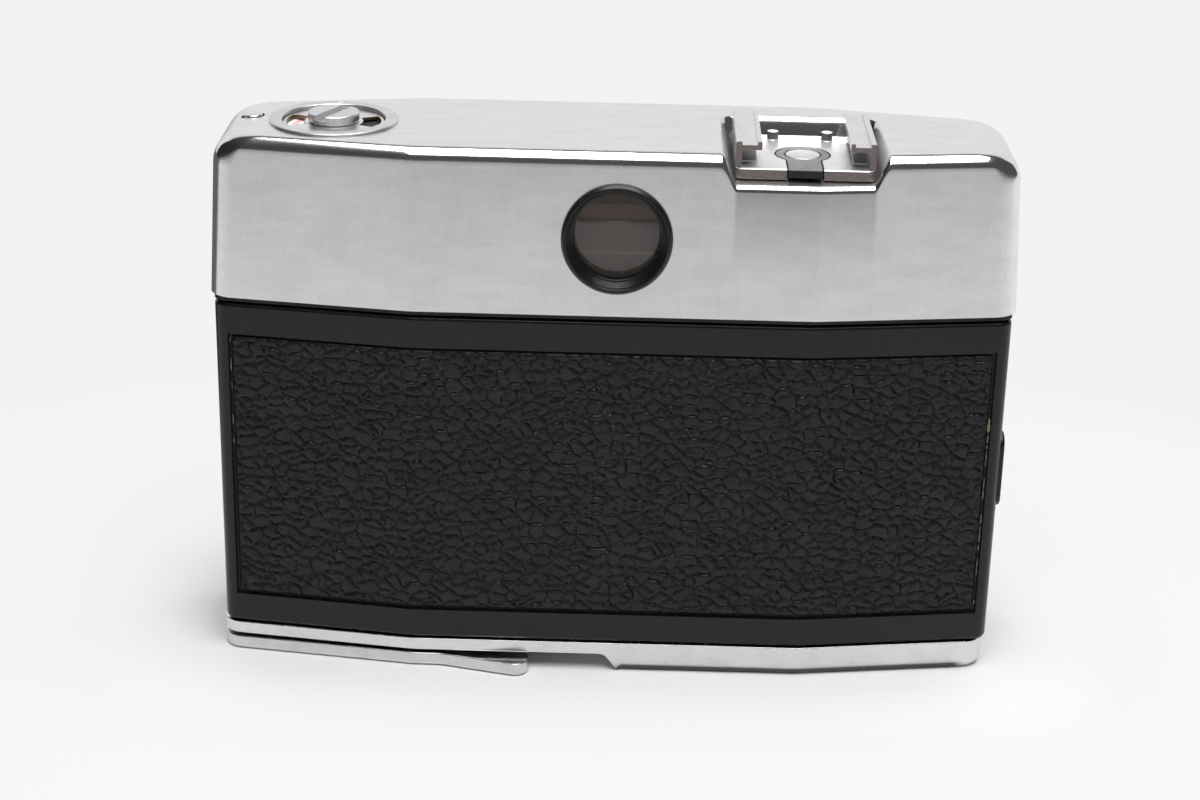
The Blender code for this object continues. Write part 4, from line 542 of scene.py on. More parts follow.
def build_glue():
    """Threads of old glue that have crept out between the door and the ends of its leatherette."""
    start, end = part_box("door_leatherette")
    rng = np.random.default_rng(5)
    bm = bmesh.new()
    # The end, how many, between which shares of the height, and half of their thickness in mm.
    for side, count, bottom, top, thick in ((1, 8, 0.45, 0.98, 0.04), (-1, 24, 0.03, 0.72, 0.05),
                                            (-1, 3, 0.72, 0.75, 0.13)):
        border = (end.x if side > 0 else -start.x) - leather_gap * 0.7
        face = end.y - rear_slope * facet(border)
        for _ in range(count):
            up = start.z + (end.z - start.z) * (bottom + (top - bottom) * rng.random())
            size = Vector((thick * (1.0 + rng.random()), 0.1, 0.3 + 0.6 * rng.random())) * MM
            bmesh.ops.create_icosphere(bm, subdivisions=2, radius=1.0,
                                       matrix=placed((side * border, face - 0.1 * MM, up), size=size))
    for vert in bm.verts:
        vert.co += Vector(rng.random(3) - 0.5) * 0.03 * MM
    add_piece("glue_crumbs", bm, "dried_glue", body="back_door")


leather_sheet("door_leatherette", 1, rear_slope, 11)
leather_sheet("front_leatherette_left", -1, front_slope, 41)
leather_sheet("front_leatherette_right", -1, front_slope, 71)
build_glue()

# ======== top cover
cover_wall = 0.9 * MM
cover_lean = tan(radians(4.5))
end_lean = tan(radians(2.2))
rear_normal = Vector((0, cos(atan(cover_lean)), sin(atan(cover_lean))))
cover_corner = 4.2 * MM
corner_steps = 14
fill_steps = 8  # from where the columns fan out to where the corner begins
end_round = 4.5 * MM
rear_round = 1.9 * MM
lip_round = 1.05 * MM  # the rear rounding where the recess opens
front_round = 1.5 * MM
grid_reach = 44.0 * MM  # the cover's points keep their X up to here, and fan out beyond
band_steps = 20  # rows of points, close together across the recess's front wall
lip_blend = 2.5 * MM  # how softly the shoe's recess meets the cover
floor_blend = 1.8 * MM
recess_slope = 3.4  # steepness of the recess's walls
recess_corner = 1.6 * MM
recess_gap = 0.2 * MM  # between the shoe and the walls, at the floor


def lower_of(a, b, soft):
    """The lower of two heights, with a rounded meeting."""
    overlap = np.maximum(soft - np.abs(a - b), 0.0) / soft
    return np.minimum(a, b) - overlap * overlap * soft / 4


def cover_height(x, y, wall):
    """Height of the top. The shoe's recess in it has a floor and rising walls, and is open to the rear."""
    start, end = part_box("shoe_base")
    floor = start.z - 0.2 * MM
    half = (end.x - start.x) / 2 + recess_gap + wall - recess_corner
    out = outside(np.abs(x - (start.x + end.x) / 2) - half,
                  (start.y - recess_gap - wall + recess_corner) - y) - recess_corner
    recess = -lower_of(-floor, -(floor + recess_slope * out), floor_blend)
    return lower_of(cover_top, recess, lip_blend)


def grid_columns():
    """X of the cover's columns along its straight part, close together around the recess."""
    start, end = low("shoe_base").x, high("shoe_base").x
    stops = ((grid_reach, 8), (crease_x + 1 * MM, 6), (crease_x - 1 * MM, 24), (end + 5 * MM, 40),
             (end - 0.5 * MM, 8), (-crease_x + 1 * MM, 6), (-crease_x - 1 * MM, 6), (start + 0.5 * MM, 40),
             (start - 5 * MM, 3), (-grid_reach, 1))
    runs = [np.linspace(a, b, count, endpoint=False) for (a, count), (b, _) in zip(stops, stops[1:])]
    return np.concatenate(runs + [[-grid_reach]])


def corner_arc(facet_y, sign_x, side, inset_end):
    """Points of the rounded corner between a rear or front facet and an end, from the facet outwards."""
    slope = rear_slope if side > 0 else front_slope
    wall_x = cover_half - inset_end
    angle = atan(slope)
    reach = cover_corner * tan((pi / 2 - angle) / 2)
    tip_y = facet_y - side * slope * (wall_x - crease_x)
    start = Vector((wall_x - reach * cos(angle), tip_y + side * reach * sin(angle)))
    middle = Vector((wall_x - cover_corner, tip_y - side * reach))
    edge = grid_reach, facet_y - side * slope * (grid_reach - crease_x)
    points = [[a + (b - a) * k / fill_steps for a, b in zip(edge, start)] for k in range(1, fill_steps)]
    for k in range(corner_steps + 1):
        turn = angle + (pi / 2 - angle) * k / corner_steps
        points.append((middle.x + cover_corner * sin(turn), middle.y + side * cover_corner * cos(turn)))
    return [(sign_x * x, y) for x, y in points]


def cover_outline(wall, z, top, rounding):
    """X and Y of the cover's outline at the heights z of its points. top is the cover's height next to each,
    which is lower where the recess opens to the rear, and rounding is the rear edge's radius there."""
    x = grid_columns()
    count = len(x)

    def inset(height, at, size, lean=cover_lean):
        over = np.maximum(0.0, height - (at - size))
        return (height - cover_bottom) * lean + size - np.sqrt(np.maximum(size ** 2 - over ** 2, 0)) + wall

    level = z[count], top[count]
    rear, front = rear_y - inset(*level, rear_round), front_y + inset(*level, front_round)
    ends = inset(*level, end_round, end_lean)
    rear_line = rear_y - inset(z[:count], top[:count], rounding[:count]) - rear_slope * facet(x)
    front_line = front + front_slope * facet(x)
    return np.concatenate([np.stack([x, rear_line], -1), corner_arc(rear, -1, 1, ends),
                           corner_arc(front, -1, -1, ends)[::-1], np.stack([x, front_line], -1)[::-1],
                           corner_arc(front, 1, -1, ends), corner_arc(rear, 1, 1, ends)[::-1]])


def cover_skin(wall):
    """Rows of points over the cover, from its lower edge to its middle line. wall sets the skin inwards."""
    x = grid_columns()
    count = len(x)
    total = 2 * count + 4 * len(corner_arc(rear_y, 1, 1, 0))
    top, rounding = np.full(total, cover_top), np.full(total, rear_round)
    top[:count] = cover_height(x, high("shoe_base").y + 2 * MM, wall)
    rounding[:count] = lip_round + (rear_round - lip_round) * ease(top[:count], low("shoe_base").z, cover_top)
    shoulder = cover_top - end_round
    levels = [np.full(total, cover_bottom + (shoulder - cover_bottom) * k / 3) for k in range(4)]
    levels += [shoulder + (top - rounding - shoulder) * k / 5 for k in range(1, 6)]
    levels += [top - rounding + rounding * sin(radians(turn)) for turn in range(10, 91, 10)]
    if wall:
        levels = [np.minimum(level, top - wall) for level in levels]
    skin = [np.column_stack([cover_outline(wall, z, top, rounding), z]) for z in levels]

    x, y = skin[-1][:, :2].T
    middle_y = (rear_y + front_y) / 2
    spine_x = np.clip(x, -grid_reach, grid_reach)
    inner = np.abs(x) < grid_reach + 0.1 * MM
    fronts = inner & (y < middle_y)
    band_start = low("shoe_base").y - 3.2 * MM
    band = 4.4 * MM
    approach = (0.06, 0.14, 0.3)
    fractions = [*approach, *(0.42 + 0.46 * k / band_steps for k in range(band_steps + 1)), 0.94, 1.0]
    for k, fraction in enumerate(fractions):
        xs, ys = x + (spine_x - x) * fraction, y + (middle_y - y) * fraction
        step = k - len(approach)
        if step < 0:
            ys = np.where(fronts, y + (band_start - y) * (k + 1) / (len(approach) + 1), ys)
        elif step <= band_steps:
            ys = np.where(fronts, band_start + band * step / band_steps, ys)
        zs = np.where(inner, cover_height(xs, ys, wall), cover_top) - wall
        skin.append(np.stack([xs, ys, zs], -1))
    return skin


def build_cover():
    bm = bmesh.new()
    skins = [[[bm.verts.new(p) for p in row] for row in cover_skin(wall)] for wall in (0.0, cover_wall)]
    for rows in skins:
        for below, above in zip(rows, rows[1:]):
            bridge(bm, below, above)
    bridge(bm, skins[1][0], skins[0][0])
    bmesh.ops.remove_doubles(bm, verts=bm.verts, dist=SAME)
    cover = add_piece("top_cover_shell", bm, "cover_satin_chrome", "top_cover", sharp=40)

    length = 8 * cover_wall

    def drill_hole(at, axis, size, segments):
        drill(cover, add_rod(bmesh.new(), at, towards(axis, "Y"), size, length, segments))

    drill_hole(centre("eyepiece_ring"), rear_normal, radius("eyepiece_lens") + cover_wall, 96)
    for node, gap, segments in (("counter_bezel", -1.2 * MM, 96), ("top_button", 0.3 * MM, 48)):
        at = centre(node)
        at.z = cover_top
        drill_hole(at, UP, radius(node) + gap, segments)
    start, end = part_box("finder_window_frame")
    margin = 3.0 * MM
    drill(cover, block(((start.x + end.x) / 2, front_y + cover_wall, (start.z + end.z) / 2),
                       (end.x - start.x - margin, length, end.z - start.z - margin)))
    even_normals(cover)


build_cover()


# ======== turned pieces
def offsets(r, h, *steps):
    """Points of a profile, each so many mm away from a base point."""
    return [(r + a * MM, h + b * MM) for a, b in steps]


def soften(points, size, steps, closed):
    """A profile with its corners rounded by so many mm."""
    made = []
    for i, point in enumerate(points):
        corner = Vector(point)
        if not closed and i in (0, len(points) - 1):
            made.append(tuple(corner))
            continue
        before = Vector(points[i - 1]) - corner
        after = Vector(points[(i + 1) % len(points)]) - corner
        reach = min(size * MM, before.length * 0.45, after.length * 0.45)
        start, end = corner + before.normalized() * reach, corner + after.normalized() * reach
        for k in range(steps + 1):
            t = k / steps
            made.append(tuple(start * (1 - t) ** 2 + corner * 2 * t * (1 - t) + end * t * t))
    return made


def rib_rings(profile, start, end):
    """Extra points on a profile's straight outer run, so that ribs end sharply."""
    made = []
    for (r0, h0), (r1, h1) in zip(profile, profile[1:] + profile[:1]):
        made.append((r0, h0))
        if abs(h1 - h0) > (end - start) * 0.9:
            steps = [start - 0.02 * MM, start + 0.02 * MM, end - 0.02 * MM, end + 0.02 * MM]
            for h in sorted((h for h in steps if min(h0, h1) < h < max(h0, h1)), reverse=h1 < h0):
                made.append((r0 + (r1 - r0) * (h - h0) / (h1 - h0), h))
    return made


def turned(name, profile, middle, finish, node=None, axis=UP, segments=192, soft=0.0, steps=2,
           ribs=None, sharp=32.0):
    """A turned piece from (radius, height) pairs, with its corners rounded by soft mm. A profile that starts
    and ends at radius 0 makes a solid; any other closes on itself and leaves a bore. ribs are cut round it:
    how many, how deep, between which two heights, and the power of their wave."""
    solid = profile[0][0] == 0 and profile[-1][0] == 0
    if soft:
        profile = soften(profile, soft, steps, not solid)
    if ribs:
        count, depth, start, end, power = ribs
        profile = rib_rings(profile, start, end)
    middle, turn_to = Vector(middle), towards(axis).to_3x3()
    bm = bmesh.new()

    def place(r, h, turn):
        if ribs and start < h < end:
            r -= depth * abs(sin(count * turn / 2)) ** power
        return middle + turn_to @ Vector((r * cos(turn), r * sin(turn), h))

    turns = [2 * pi * k / segments for k in range(segments)]
    inner = profile[1:-1] if solid else profile
    rings = [[bm.verts.new(place(r, h, turn)) for turn in turns] for r, h in inner]
    for a, b in zip(rings, rings[1:] + ([] if solid else rings[:1])):
        bridge(bm, a, b)
    for ring, (_, h) in ((rings[0], profile[0]), (rings[-1], profile[-1])) if solid else ():
        tip = bm.verts.new(place(0, h, 0))
        for a, b in zip(ring, ring[1:] + ring[:1]):
            bm.faces.new((a, b, tip))
    return add_piece(name, bm, finish, node, sharp=sharp)


# ======== frame counter
bezel_opening = 7.55 * MM
ring_top = cover_top + 0.4 * MM
hub_slot_width = 1.7 * MM
hub_slot_depth = 0.7 * MM
hub_slot_turn = radians(64)
dial_strokes = 48
counter = centre("counter_bezel")
counter.z = 0.0


def build_counter():
    rim, bottom = radius("counter_bezel"), low("counter_bezel").z
    neck, flange = bezel_opening + 0.5 * MM, cover_top + 0.02 * MM
    profile = [(neck, bottom), (neck, flange), (rim, flange),
               *offsets(rim, ring_top, (0, -0.12), (-0.1, -0.03), (-0.35, 0)),
               *offsets(bezel_opening, ring_top, (0.1, -0.02), (0, -0.14)), (bezel_opening, bottom)]
    even_normals(turned("counter_ring", profile, counter, "turned_chrome", "counter_bezel",
                        soft=0.12, steps=3))

    plate = refined("counter_plate", "satin_chrome", 0.06, 1, name="counter_window_plate")
    finish_faces(plate, "aged_brass", lambda at, normal: abs(normal.z) < 0.8
                 and (at - Vector((counter.x, counter.y, at.z))).length < radius("counter_plate") - 0.2 * MM)

    size, head, foot = radius("counter_hub"), high("counter_hub").z, low("counter_hub").z
    seat = high("counter_plate").z
    profile = [(0, foot), (1.3 * MM, foot), *offsets(0, seat, (1.3, -0.7), (2.6, -0.7), (2.6, 0.1)),
               (size, seat + 0.1 * MM), *offsets(size, head, (0, -0.12), (-0.12, 0)), (0, head)]
    hub = turned("counter_slotted_hub", profile, counter, "turned_chrome", "counter_hub",
                 soft=0.16, steps=3)
    drill(hub, block((counter.x, counter.y, head), (3 * size, hub_slot_width, 2 * hub_slot_depth),
                     Matrix.Rotation(hub_slot_turn, 4, "Z")))
    even_normals(hub)
    build_dial_marks()

    # The small white triangle on the ring that the dial is read against.
    reach = bezel_opening + 0.2 * MM
    corners = [counter + Vector((x, y, ring_top - 0.1 * MM))
               for x, y in offsets(0, -reach, (-0.5, -1.2), (0.5, -1.2), (0, 0))]
    add_piece("counter_index", flat_plate(corners, Vector((0, 0, 0.12 * MM))), "white_dial")


def build_dial_marks():
    """Strokes round the dial, one in four longer and some of them red, and the half that is black."""
    middle, reach = counter + Vector((0, 0, high("counter_dial").z)), radius("counter_dial")
    for name, finish, chosen in (("dial_marks", "black_ink", (*range(6, 14), *range(34, 42))),
                                 ("dial_red_marks", "red_ink", (*range(6), *range(42, dial_strokes)))):
        bm = bmesh.new()
        for k in chosen:
            length, width = (1.8 * MM, 0.3 * MM) if k % 4 == 0 else (0.9 * MM, 0.2 * MM)
            place = placed(middle, Matrix.Rotation(2 * pi * (k + 0.5) / dial_strokes, 4, "Z"))
            stroke = placed((reach - 1.0 * MM - length / 2, 0, 0), size=(length, width, 0.05 * MM))
            bmesh.ops.create_cube(bm, size=1.0, matrix=place @ stroke)
        add_piece(name, bm, finish, body="frame_counter")

    bm = bmesh.new()
    rows = []
    for degrees in np.linspace(100, 260, 49):
        out = Vector((cos(radians(degrees)), sin(radians(degrees)), 0))
        rows.append([bm.verts.new(middle + out * size + Vector((0, 0, lift)))
                     for size, lift in offsets(reach, 0, (-3.2, 0), (-0.1, 0), (-0.1, 0.04), (-3.2, 0.04))])
    for a, b in zip(rows, rows[1:]):
        bridge(bm, a, b)
    for row in (rows[0], rows[-1]):
        bm.faces.new(row)
    add_piece("dial_black_half", bm, "black_ink", body="frame_counter")


def build_button():
    """The low round button on the cover's shoulder."""
    size, at, lean = radius("top_button"), centre("top_button"), radians(3)
    at.z = cover_top - 0.02 * MM
    profile = [*offsets(0, 0, (0, -3.5), (0.8, -3.5), (0.8, -1.6)),
               *offsets(size, 0, (0, -1.6), (0, 0.14), (-0.12, 0.24)), (size / 2, 0.3 * MM), (0, 0.32 * MM)]
    even_normals(turned("top_button_cap", profile, at, "bright_chrome", "top_button",
                        (sin(lean), 0, cos(lean)), 72, 0.06))


# ======== eyepiece
def build_eyepiece():
    ring, size, glass_size = centre("eyepiece_ring"), radius("eyepiece_ring"), radius("eyepiece_lens")
    middle = (ring.x, rear_y - (ring.z - cover_bottom) * cover_lean, ring.z)
    throat = offsets(size, 0, (-0.05, 0), (0, 0.45), (-0.35, 1.0), (-0.75, 1.02), (-0.95, 0.7))
    reach, depth = size - 0.95 * MM, 0.7 * MM
    for _ in range(4):
        throat += offsets(reach, depth, (-0.04, -0.2), (0.1, -0.3), (0.1, -0.45), (-0.12, -0.55))
        reach, depth = reach - 0.13 * MM, depth - 0.55 * MM
    throat += [(glass_size - 0.2 * MM, depth - 0.1 * MM),
               *offsets(glass_size, 0, (-0.2, -4.4), (0.6, -4.4), (0.6, 0))]
    even_normals(turned("eyepiece_mount", throat, middle, "black_plastic", "eyepiece_ring",
                        rear_normal, 144, 0.07, sharp=40))
    lens = [(0, -4.3 * MM), *offsets(glass_size, 0, (-0.25, -4.3), (-0.25, -3.0)),
            (glass_size * 0.66, -2.8 * MM), (glass_size * 0.33, -2.7 * MM), (0, -2.68 * MM)]
    turned("eyepiece_glass", lens, middle, "glass", "eyepiece_lens", rear_normal, 144, sharp=50)

    # What shows through it: the finder's dark screen, with the lighter frame band across it. Their tones and
    # faint glow are painted light and shade, standing in for the view through the finder.
    reach, depth = radius("eyepiece_lens") - 0.1 * MM, rear_y - 7.2 * MM
    turned("finder_screen", [(0, 0), (reach, 0), (reach, 0.5 * MM), (0, 0.5 * MM)],
           (ring.x, depth - 0.5 * MM, ring.z), "finder_screen_glow", axis=(0, 1, 0),
           segments=96)
    for name, start, end in (("finder_frame_band", 1.3, 3.3), ("finder_frame_line", -3.9, -3.6)):
        half = sqrt(reach ** 2 - (max(abs(start), abs(end)) * MM) ** 2) - 0.1 * MM
        corners = [Vector((ring.x + x, depth, ring.z + z * MM))
                   for x, z in ((-half, start), (half, start), (half, end), (-half, end))]
        add_piece(name, flat_plate(corners, Vector((0, 0.2 * MM, 0))), "finder_band_glow")


build_counter()
build_button()
build_eyepiece()


# ======== shoe
stop_share = 0.65  # how much of the stops' height shows


def build_rail(node):
    """A pressed rail: its wall, and a lip with a rib along each edge."""
    start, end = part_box(node)
    inwards = -1 if centre(node).x > centre("shoe_base").x else 1
    outer = end.x if inwards < 0 else start.x
    profile = [(0, start.z), (0.85 * MM, start.z), (0.85 * MM, end.z - 1.2 * MM),
               *offsets(end.x - start.x, end.z, (-0.1, -1.2), (0, -1.1), (0, -0.06), (-0.06, 0), (-0.6, 0),
                        (-0.66, -0.5)),
               *offsets(0, end.z, (0.9, -0.5), (0.84, 0), (0.22, 0), (0.06, -0.08), (0, -0.3))]
    outline = [Vector((outer + inwards * x, start.y, z)) for x, z in soften(profile, 0.05, 2, True)]
    bm = flat_plate(outline, Vector((0, end.y - start.y, 0)))
    rail = add_piece(node + "_pressed", bm, "worn_nickel_plate", node, sharp=25)
    finish_faces(rail, "cut_steel_edge", lambda at, normal: abs(normal.y) > 0.9)
    even_normals(rail)


def build_shoe():
    for side in ("left", "right"):
        build_rail("shoe_rail_" + side)
    deck, rear = high("shoe_contact").z, high("shoe_base").y

    def lowered(at):
        return Vector((at.x, at.y, deck + (at.z - deck) * stop_share if at.z > deck else at.z))

    base = refined("shoe_base", "satin_nickel_plate", 0.16, 3, wide=0.34, reshape=lowered,
                   chosen=lambda at: at.y > rear - 2 * MM and at.z > deck - 0.1 * MM)
    finish_faces(base, "cut_steel_edge",
                 lambda at, normal: normal.z < 0.3 and at.z < deck and normal.y > -0.5)
    # The stops' sides take that darker copy, while their tops keep the plating: painted shade.
    finish_faces(base, "stop_side_shade", lambda at, normal: normal.z < 0.8 and at.z > deck + 0.1 * MM)
    for side in ("left", "right"):
        refined("shoe_spring_" + side, "steel", 0.05, 1)
    tongue = refined("shoe_insulator", "grey_plastic", 0.08, 1)
    finish_faces(tongue, "black_plastic", lambda at, normal: at.y > rear - 1.2 * MM)
    contact, size = centre("shoe_contact"), radius("shoe_contact")
    foot = low("shoe_contact").z
    profile = [(0, foot), (size, foot), *offsets(size, deck, (0, -0.08), (-0.08, 0)), (size * 0.4, deck),
               (0, deck)]
    even_normals(turned("shoe_contact_disc", profile, (contact.x, contact.y, 0), "contact_silver",
                        "shoe_contact", segments=128, soft=0.05))


build_shoe()

# ======== base plate, lever and door
door_top, door_bottom = high("back_door").z - 0.1 * MM, low("back_door").z + 0.1 * MM
refined("base_plate", "base_plate_chrome", 0.14, 5, 20, wide=1.35,
        chosen=lambda at: at.z < 0.1 * MM and at.y > mid_y, clamp=False)
refined("wind_lever", "lever_chrome", 0.45, 4)
refined("back_door", "black_enamel", 0.14, 4, wide=0.65,
        chosen=lambda at: at.y > mid_y + 6 * MM and not door_bottom <= at.z <= door_top)
refined("door_latch", "black_enamel", 0.3, 3)

# ======== lens and front
lens_axis = Vector((0, 0, axis_z))
screw_size = 1.25 * MM


def bore(node):
    """Radius of the hole through a ring round the lens axis."""
    return min(hypot(v.co.x, v.co.z - axis_z) for v in frame["nodes"][node].data.vertices)


def reach_of(node):
    """Where a node starts and ends along the lens axis, measured forwards from the frame's origin."""
    return -high(node).y, -low(node).y


def lettering(name, texts, start, step, size, r, h, slope, wrap, finish, body):
    """Plain numbers round a turned surface, the first one start degrees from the top, the others a step
    apart. The surface has this slope at radius r and height h, and wrap is the radius that the letters bend to.
    A negative one turns them upside down."""
    bm = bmesh.new()
    sense = 1 if wrap > 0 else -1
    for k, text in enumerate(texts):
        font = bpy.data.curves.new("number", "FONT")
        font.body = text
        font.size = size
        font.extrude = 0.03 * MM
        font.resolution_u = 3
        font.align_x, font.align_y = "CENTER", "CENTER"
        maker = link_object("number", font)
        mesh = bpy.data.meshes.new_from_object(maker.evaluated_get(bpy.context.evaluated_depsgraph_get()))
        for vert in mesh.vertices:
            across, up, out = vert.co
            turn, up = radians(start + step * k) + across / wrap, sense * up
            away, along = r + up * slope.x + out * slope.y, h - up * slope.y + out * slope.x
            vert.co = (away * sin(turn), -along, axis_z + away * cos(turn))
        bm.from_mesh(mesh)
        bpy.data.objects.remove(maker)
        bpy.data.curves.remove(font)
        bpy.data.meshes.remove(mesh)
    bmesh.ops.remove_doubles(bm, verts=bm.verts, dist=SAME / 10)
    add_piece(name, bm, finish, body=body)


def build_lens():
    back, front = reach_of("aperture_ring")
    hole, rim = bore("aperture_ring"), radius("aperture_ring")
    grip = back + 1.35 * MM
    band_rim = rim - 0.5 * MM
    profile = [(hole, back), (band_rim, back), (band_rim, grip - 0.15 * MM), (rim, grip),
               *offsets(rim, front, (0, -0.12), (-0.12, 0)), (hole, front)]
    turned("aperture_ring_ribbed", profile, lens_axis, "turned_chrome", "aperture_ring",
           FORWARD, 480, 0.06, ribs=(80, 0.28 * MM, grip + 0.15 * MM, front - 0.2 * MM, 0.6))
    lettering("aperture_numbers", ("2.8", "4", "5.6", "8", "11", "16", "22"), 30, -10, 1.15 * MM, band_rim,
              (back + grip) / 2, Vector((0, 1)), -rim, "black_ink", "aperture_ring")

    back, front = reach_of("focus_ring")
    hole, outer = bore("focus_ring"), radius("focus_ring")
    cone = front - 1.7 * MM
    cone_rim, face_rim = outer - 0.7 * MM, outer - 2.4 * MM
    profile = [(hole, back), *offsets(outer, back, (-0.8, 0), (-0.8, 0.5), (0, 0.7)),
               (outer, cone - 0.3 * MM), (cone_rim, cone), (face_rim, front), (hole, front)]
    turned("focus_ring_scalloped", profile, lens_axis, "black_enamel", "focus_ring",
           FORWARD, 576, 0.08, ribs=(24, 0.42 * MM, back + 0.9 * MM, cone - 0.45 * MM, 2.0))
    slope = Vector((1.7 * MM, front - cone)).normalized()
    middle_rim = (cone_rim + face_rim) / 2
    lettering("focus_numbers", ("1", "1.2", "1.5", "2", "3", "4", "6", "10"), -56, 16, 1.7 * MM, middle_rim,
              (cone + front) / 2, slope, middle_rim, "engraving_paint", "focus_ring")

    # The front ring: fine steps round the glass, then a thread, then the rim.
    back, front = reach_of("lens_front_ring")
    rim, hole = radius("lens_front_ring"), radius("front_lens") + 0.15 * MM
    face = front - 1.75 * MM
    profile = [(hole, back), *offsets(hole, face, (0, 0.2), (0.35, 0.55), (1.1, 0.55), (1.4, 0.1))]
    count = 6
    step = (rim - hole - 3.1 * MM) / count
    for k in range(count):
        lift = 0.05 * (k % 2)
        profile += offsets(hole + 1.4 * MM + step * (k + 0.45), face, (0, lift), (0.12, -0.14), (0.34, -0.14),
                           (0.46, lift))
    profile += [(rim - 1.55 * MM, face)]
    for k in range(3):
        profile += offsets(rim, face, (-1.55, 0.22 + 0.4 * k), (-1.29, 0.42 + 0.4 * k))
    profile += offsets(rim, front, (-1.55, -0.25), (-1.25, 0), (-0.3, 0), (0, -0.3), (0, -1.5), (-0.25, -1.7))
    profile += [(rim - 0.25 * MM, back)]
    turned("lens_rim", profile, lens_axis, "black_enamel", "lens_front_ring", FORWARD,
           soft=0.05, steps=1)

    back, front = reach_of("front_lens")
    edge = radius("front_lens")
    dome = [(edge * sin(turn), front - 1.5 * MM * (1 - cos(turn)))
            for turn in (k * pi / 24 for k in range(12, 0, -1))]
    profile = [(0, back + 0.4 * MM), (edge, back + 0.4 * MM), *dome, (0, front)]
    turned("front_glass", profile, lens_axis, "lens_coating", "front_lens", FORWARD, 128, sharp=50)

    # The turned skin of the shutter's drum, between the front plate and the aperture ring.
    rim, start = radius("lens_housing"), reach_of("front_plate")[1] + 0.02 * MM
    drum = max(-v.co.y for v in frame["nodes"]["lens_housing"].data.vertices
               if hypot(v.co.x, v.co.z - axis_z) > 0.95 * rim) + 0.03 * MM
    rim += 0.04 * MM
    profile = offsets(rim, start, (-0.6, 0), (0, 0), (0, 2.2), (-0.03, 2.3), (-0.03, 2.6), (0, 2.7))
    profile += offsets(rim, drum, (0, -0.4), (-0.4, 0), (-1.6, 0), (-1.6, -0.1))
    turned("lens_housing_sleeve", profile, lens_axis, "turned_chrome", axis=FORWARD,
           soft=0.05)


def build_front():
    refined("front_plate", "satin_chrome", 0.22, 3)
    start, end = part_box("front_plate")
    inset = 3.1 * MM
    sides, heights = (start.x + inset, end.x - inset), (start.z + inset, end.z - inset)
    rise = screw_size * 0.28
    head = [(0, -0.3 * MM), (screw_size, -0.3 * MM), (screw_size, rise * 0.5), (screw_size * 0.8, rise),
            (0, rise * 1.15)]
    for k, (i, j) in enumerate(((0, 0), (1, 0), (1, 1), (0, 1))):
        at = Vector((sides[i], start.y, heights[j]))
        screw = turned(f"front_plate_screw_{k + 1}", head, at, "bright_chrome", None, FORWARD, 48,
                       0.06)
        drill(screw, block(at + Vector(FORWARD) * rise, (3 * screw_size, screw_size * 0.3, screw_size * 0.4),
                           towards(FORWARD) @ Matrix.Rotation(0.5 + 0.9 * k, 4, "Z")))
        even_normals(screw)

    refined("finder_window_frame", "black_enamel", 0.25, 3)
    refined("shutter_release", "bright_chrome", 0.35, 3)
    start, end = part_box("shutter_release")
    bm = bmesh.new()
    for k in range(6):
        at = ((start.x + end.x) / 2, start.y + 0.05 * MM, start.z + (end.z - start.z) * (0.24 + 0.1 * k))
        add_rod(bm, at, Matrix.Rotation(pi / 2, 4, "Y"), 0.24 * MM, end.x - start.x - 2.2 * MM, 16)
    add_piece("release_ribs", bm, "bright_chrome", body="shutter_release")


def build_tripod_bush():
    """The bush with the ridges of its thread."""
    start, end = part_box("tripod_bush")
    middle = centre("tripod_bush")
    size, hole, depth, pitch = radius("tripod_bush"), 2.55 * MM, 4.1 * MM, 0.8 * MM
    profile = [(0, end.z), (size, end.z), *offsets(size, start.z, (0, 0.2), (-0.2, 0)),
               *offsets(hole, start.z, (0.6, 0), (0.35, 0.25))]
    level = start.z + 0.3 * MM
    while level + pitch < start.z + depth:
        profile += offsets(hole, level, (0, 0.24), (0, 0.36), (0.38, 0.68))
        level += pitch
    profile += [(hole, start.z + depth), (0, start.z + depth)]
    middle.z = 0
    turned("tripod_bush_threaded", profile, middle, "steel", "tripod_bush", segments=96)


build_lens()
build_front()
build_tripod_bush()

# ======== camera
camera_offset = Vector((-2.28, 331.03, 176.56)) * MM  # from the middle of the rear plane
view_direction = Vector((0.0106, -0.9291, -0.3696))
view_up = Vector((0.0264, -0.3692, 0.929))
lens_mm = 73.39


def add_camera():
    data = bpy.data.cameras.new("photo_camera")
    data.lens = lens_mm
    data.sensor_width = 36.0
    data.clip_start = 0.01
    camera = link_object("photo_camera", data)
    back = -view_direction.normalized()
    right = view_up.cross(back).normalized()
    turn = Matrix((right, back.cross(right), back)).transposed().to_4x4()
    camera.matrix_world = placed(Vector((0.0, rear_y, 0.0)) + camera_offset, turn)
    bpy.context.scene.camera = camera


# ======== floor, backdrop and light
floor_colour = (0.88, 0.885, 0.895)
background_level = 0.895
near_share = 0.75  # how much of that level the lit paper takes on, once clear of the body
near_reach = (0.002, 0.02)  # distances from the body over which it does
far_reach = (0.02, 0.1)  # and over which the floor passes into the plain background
dim_x, dim_y = (0.10, 0.13), (-0.005, -0.045)  # over which the floor dims in mirrors
dim_share = 0.85
painted_shadow_reach = (0.0005, 0.0035)  # behind the base's rear outline: a strip of painted shadow on the floor, which only mirrors see
painted_shadow_level = 0.1
painted_shadow_y = (0.0, 0.005)  # it sets in over these spans: of Y,
painted_shadow_end = (0.001, 0.004)  # of X, inwards from the end of the thick half,
painted_shadow_middle = (0.001, -0.002)  # and of X, at the middle of the body


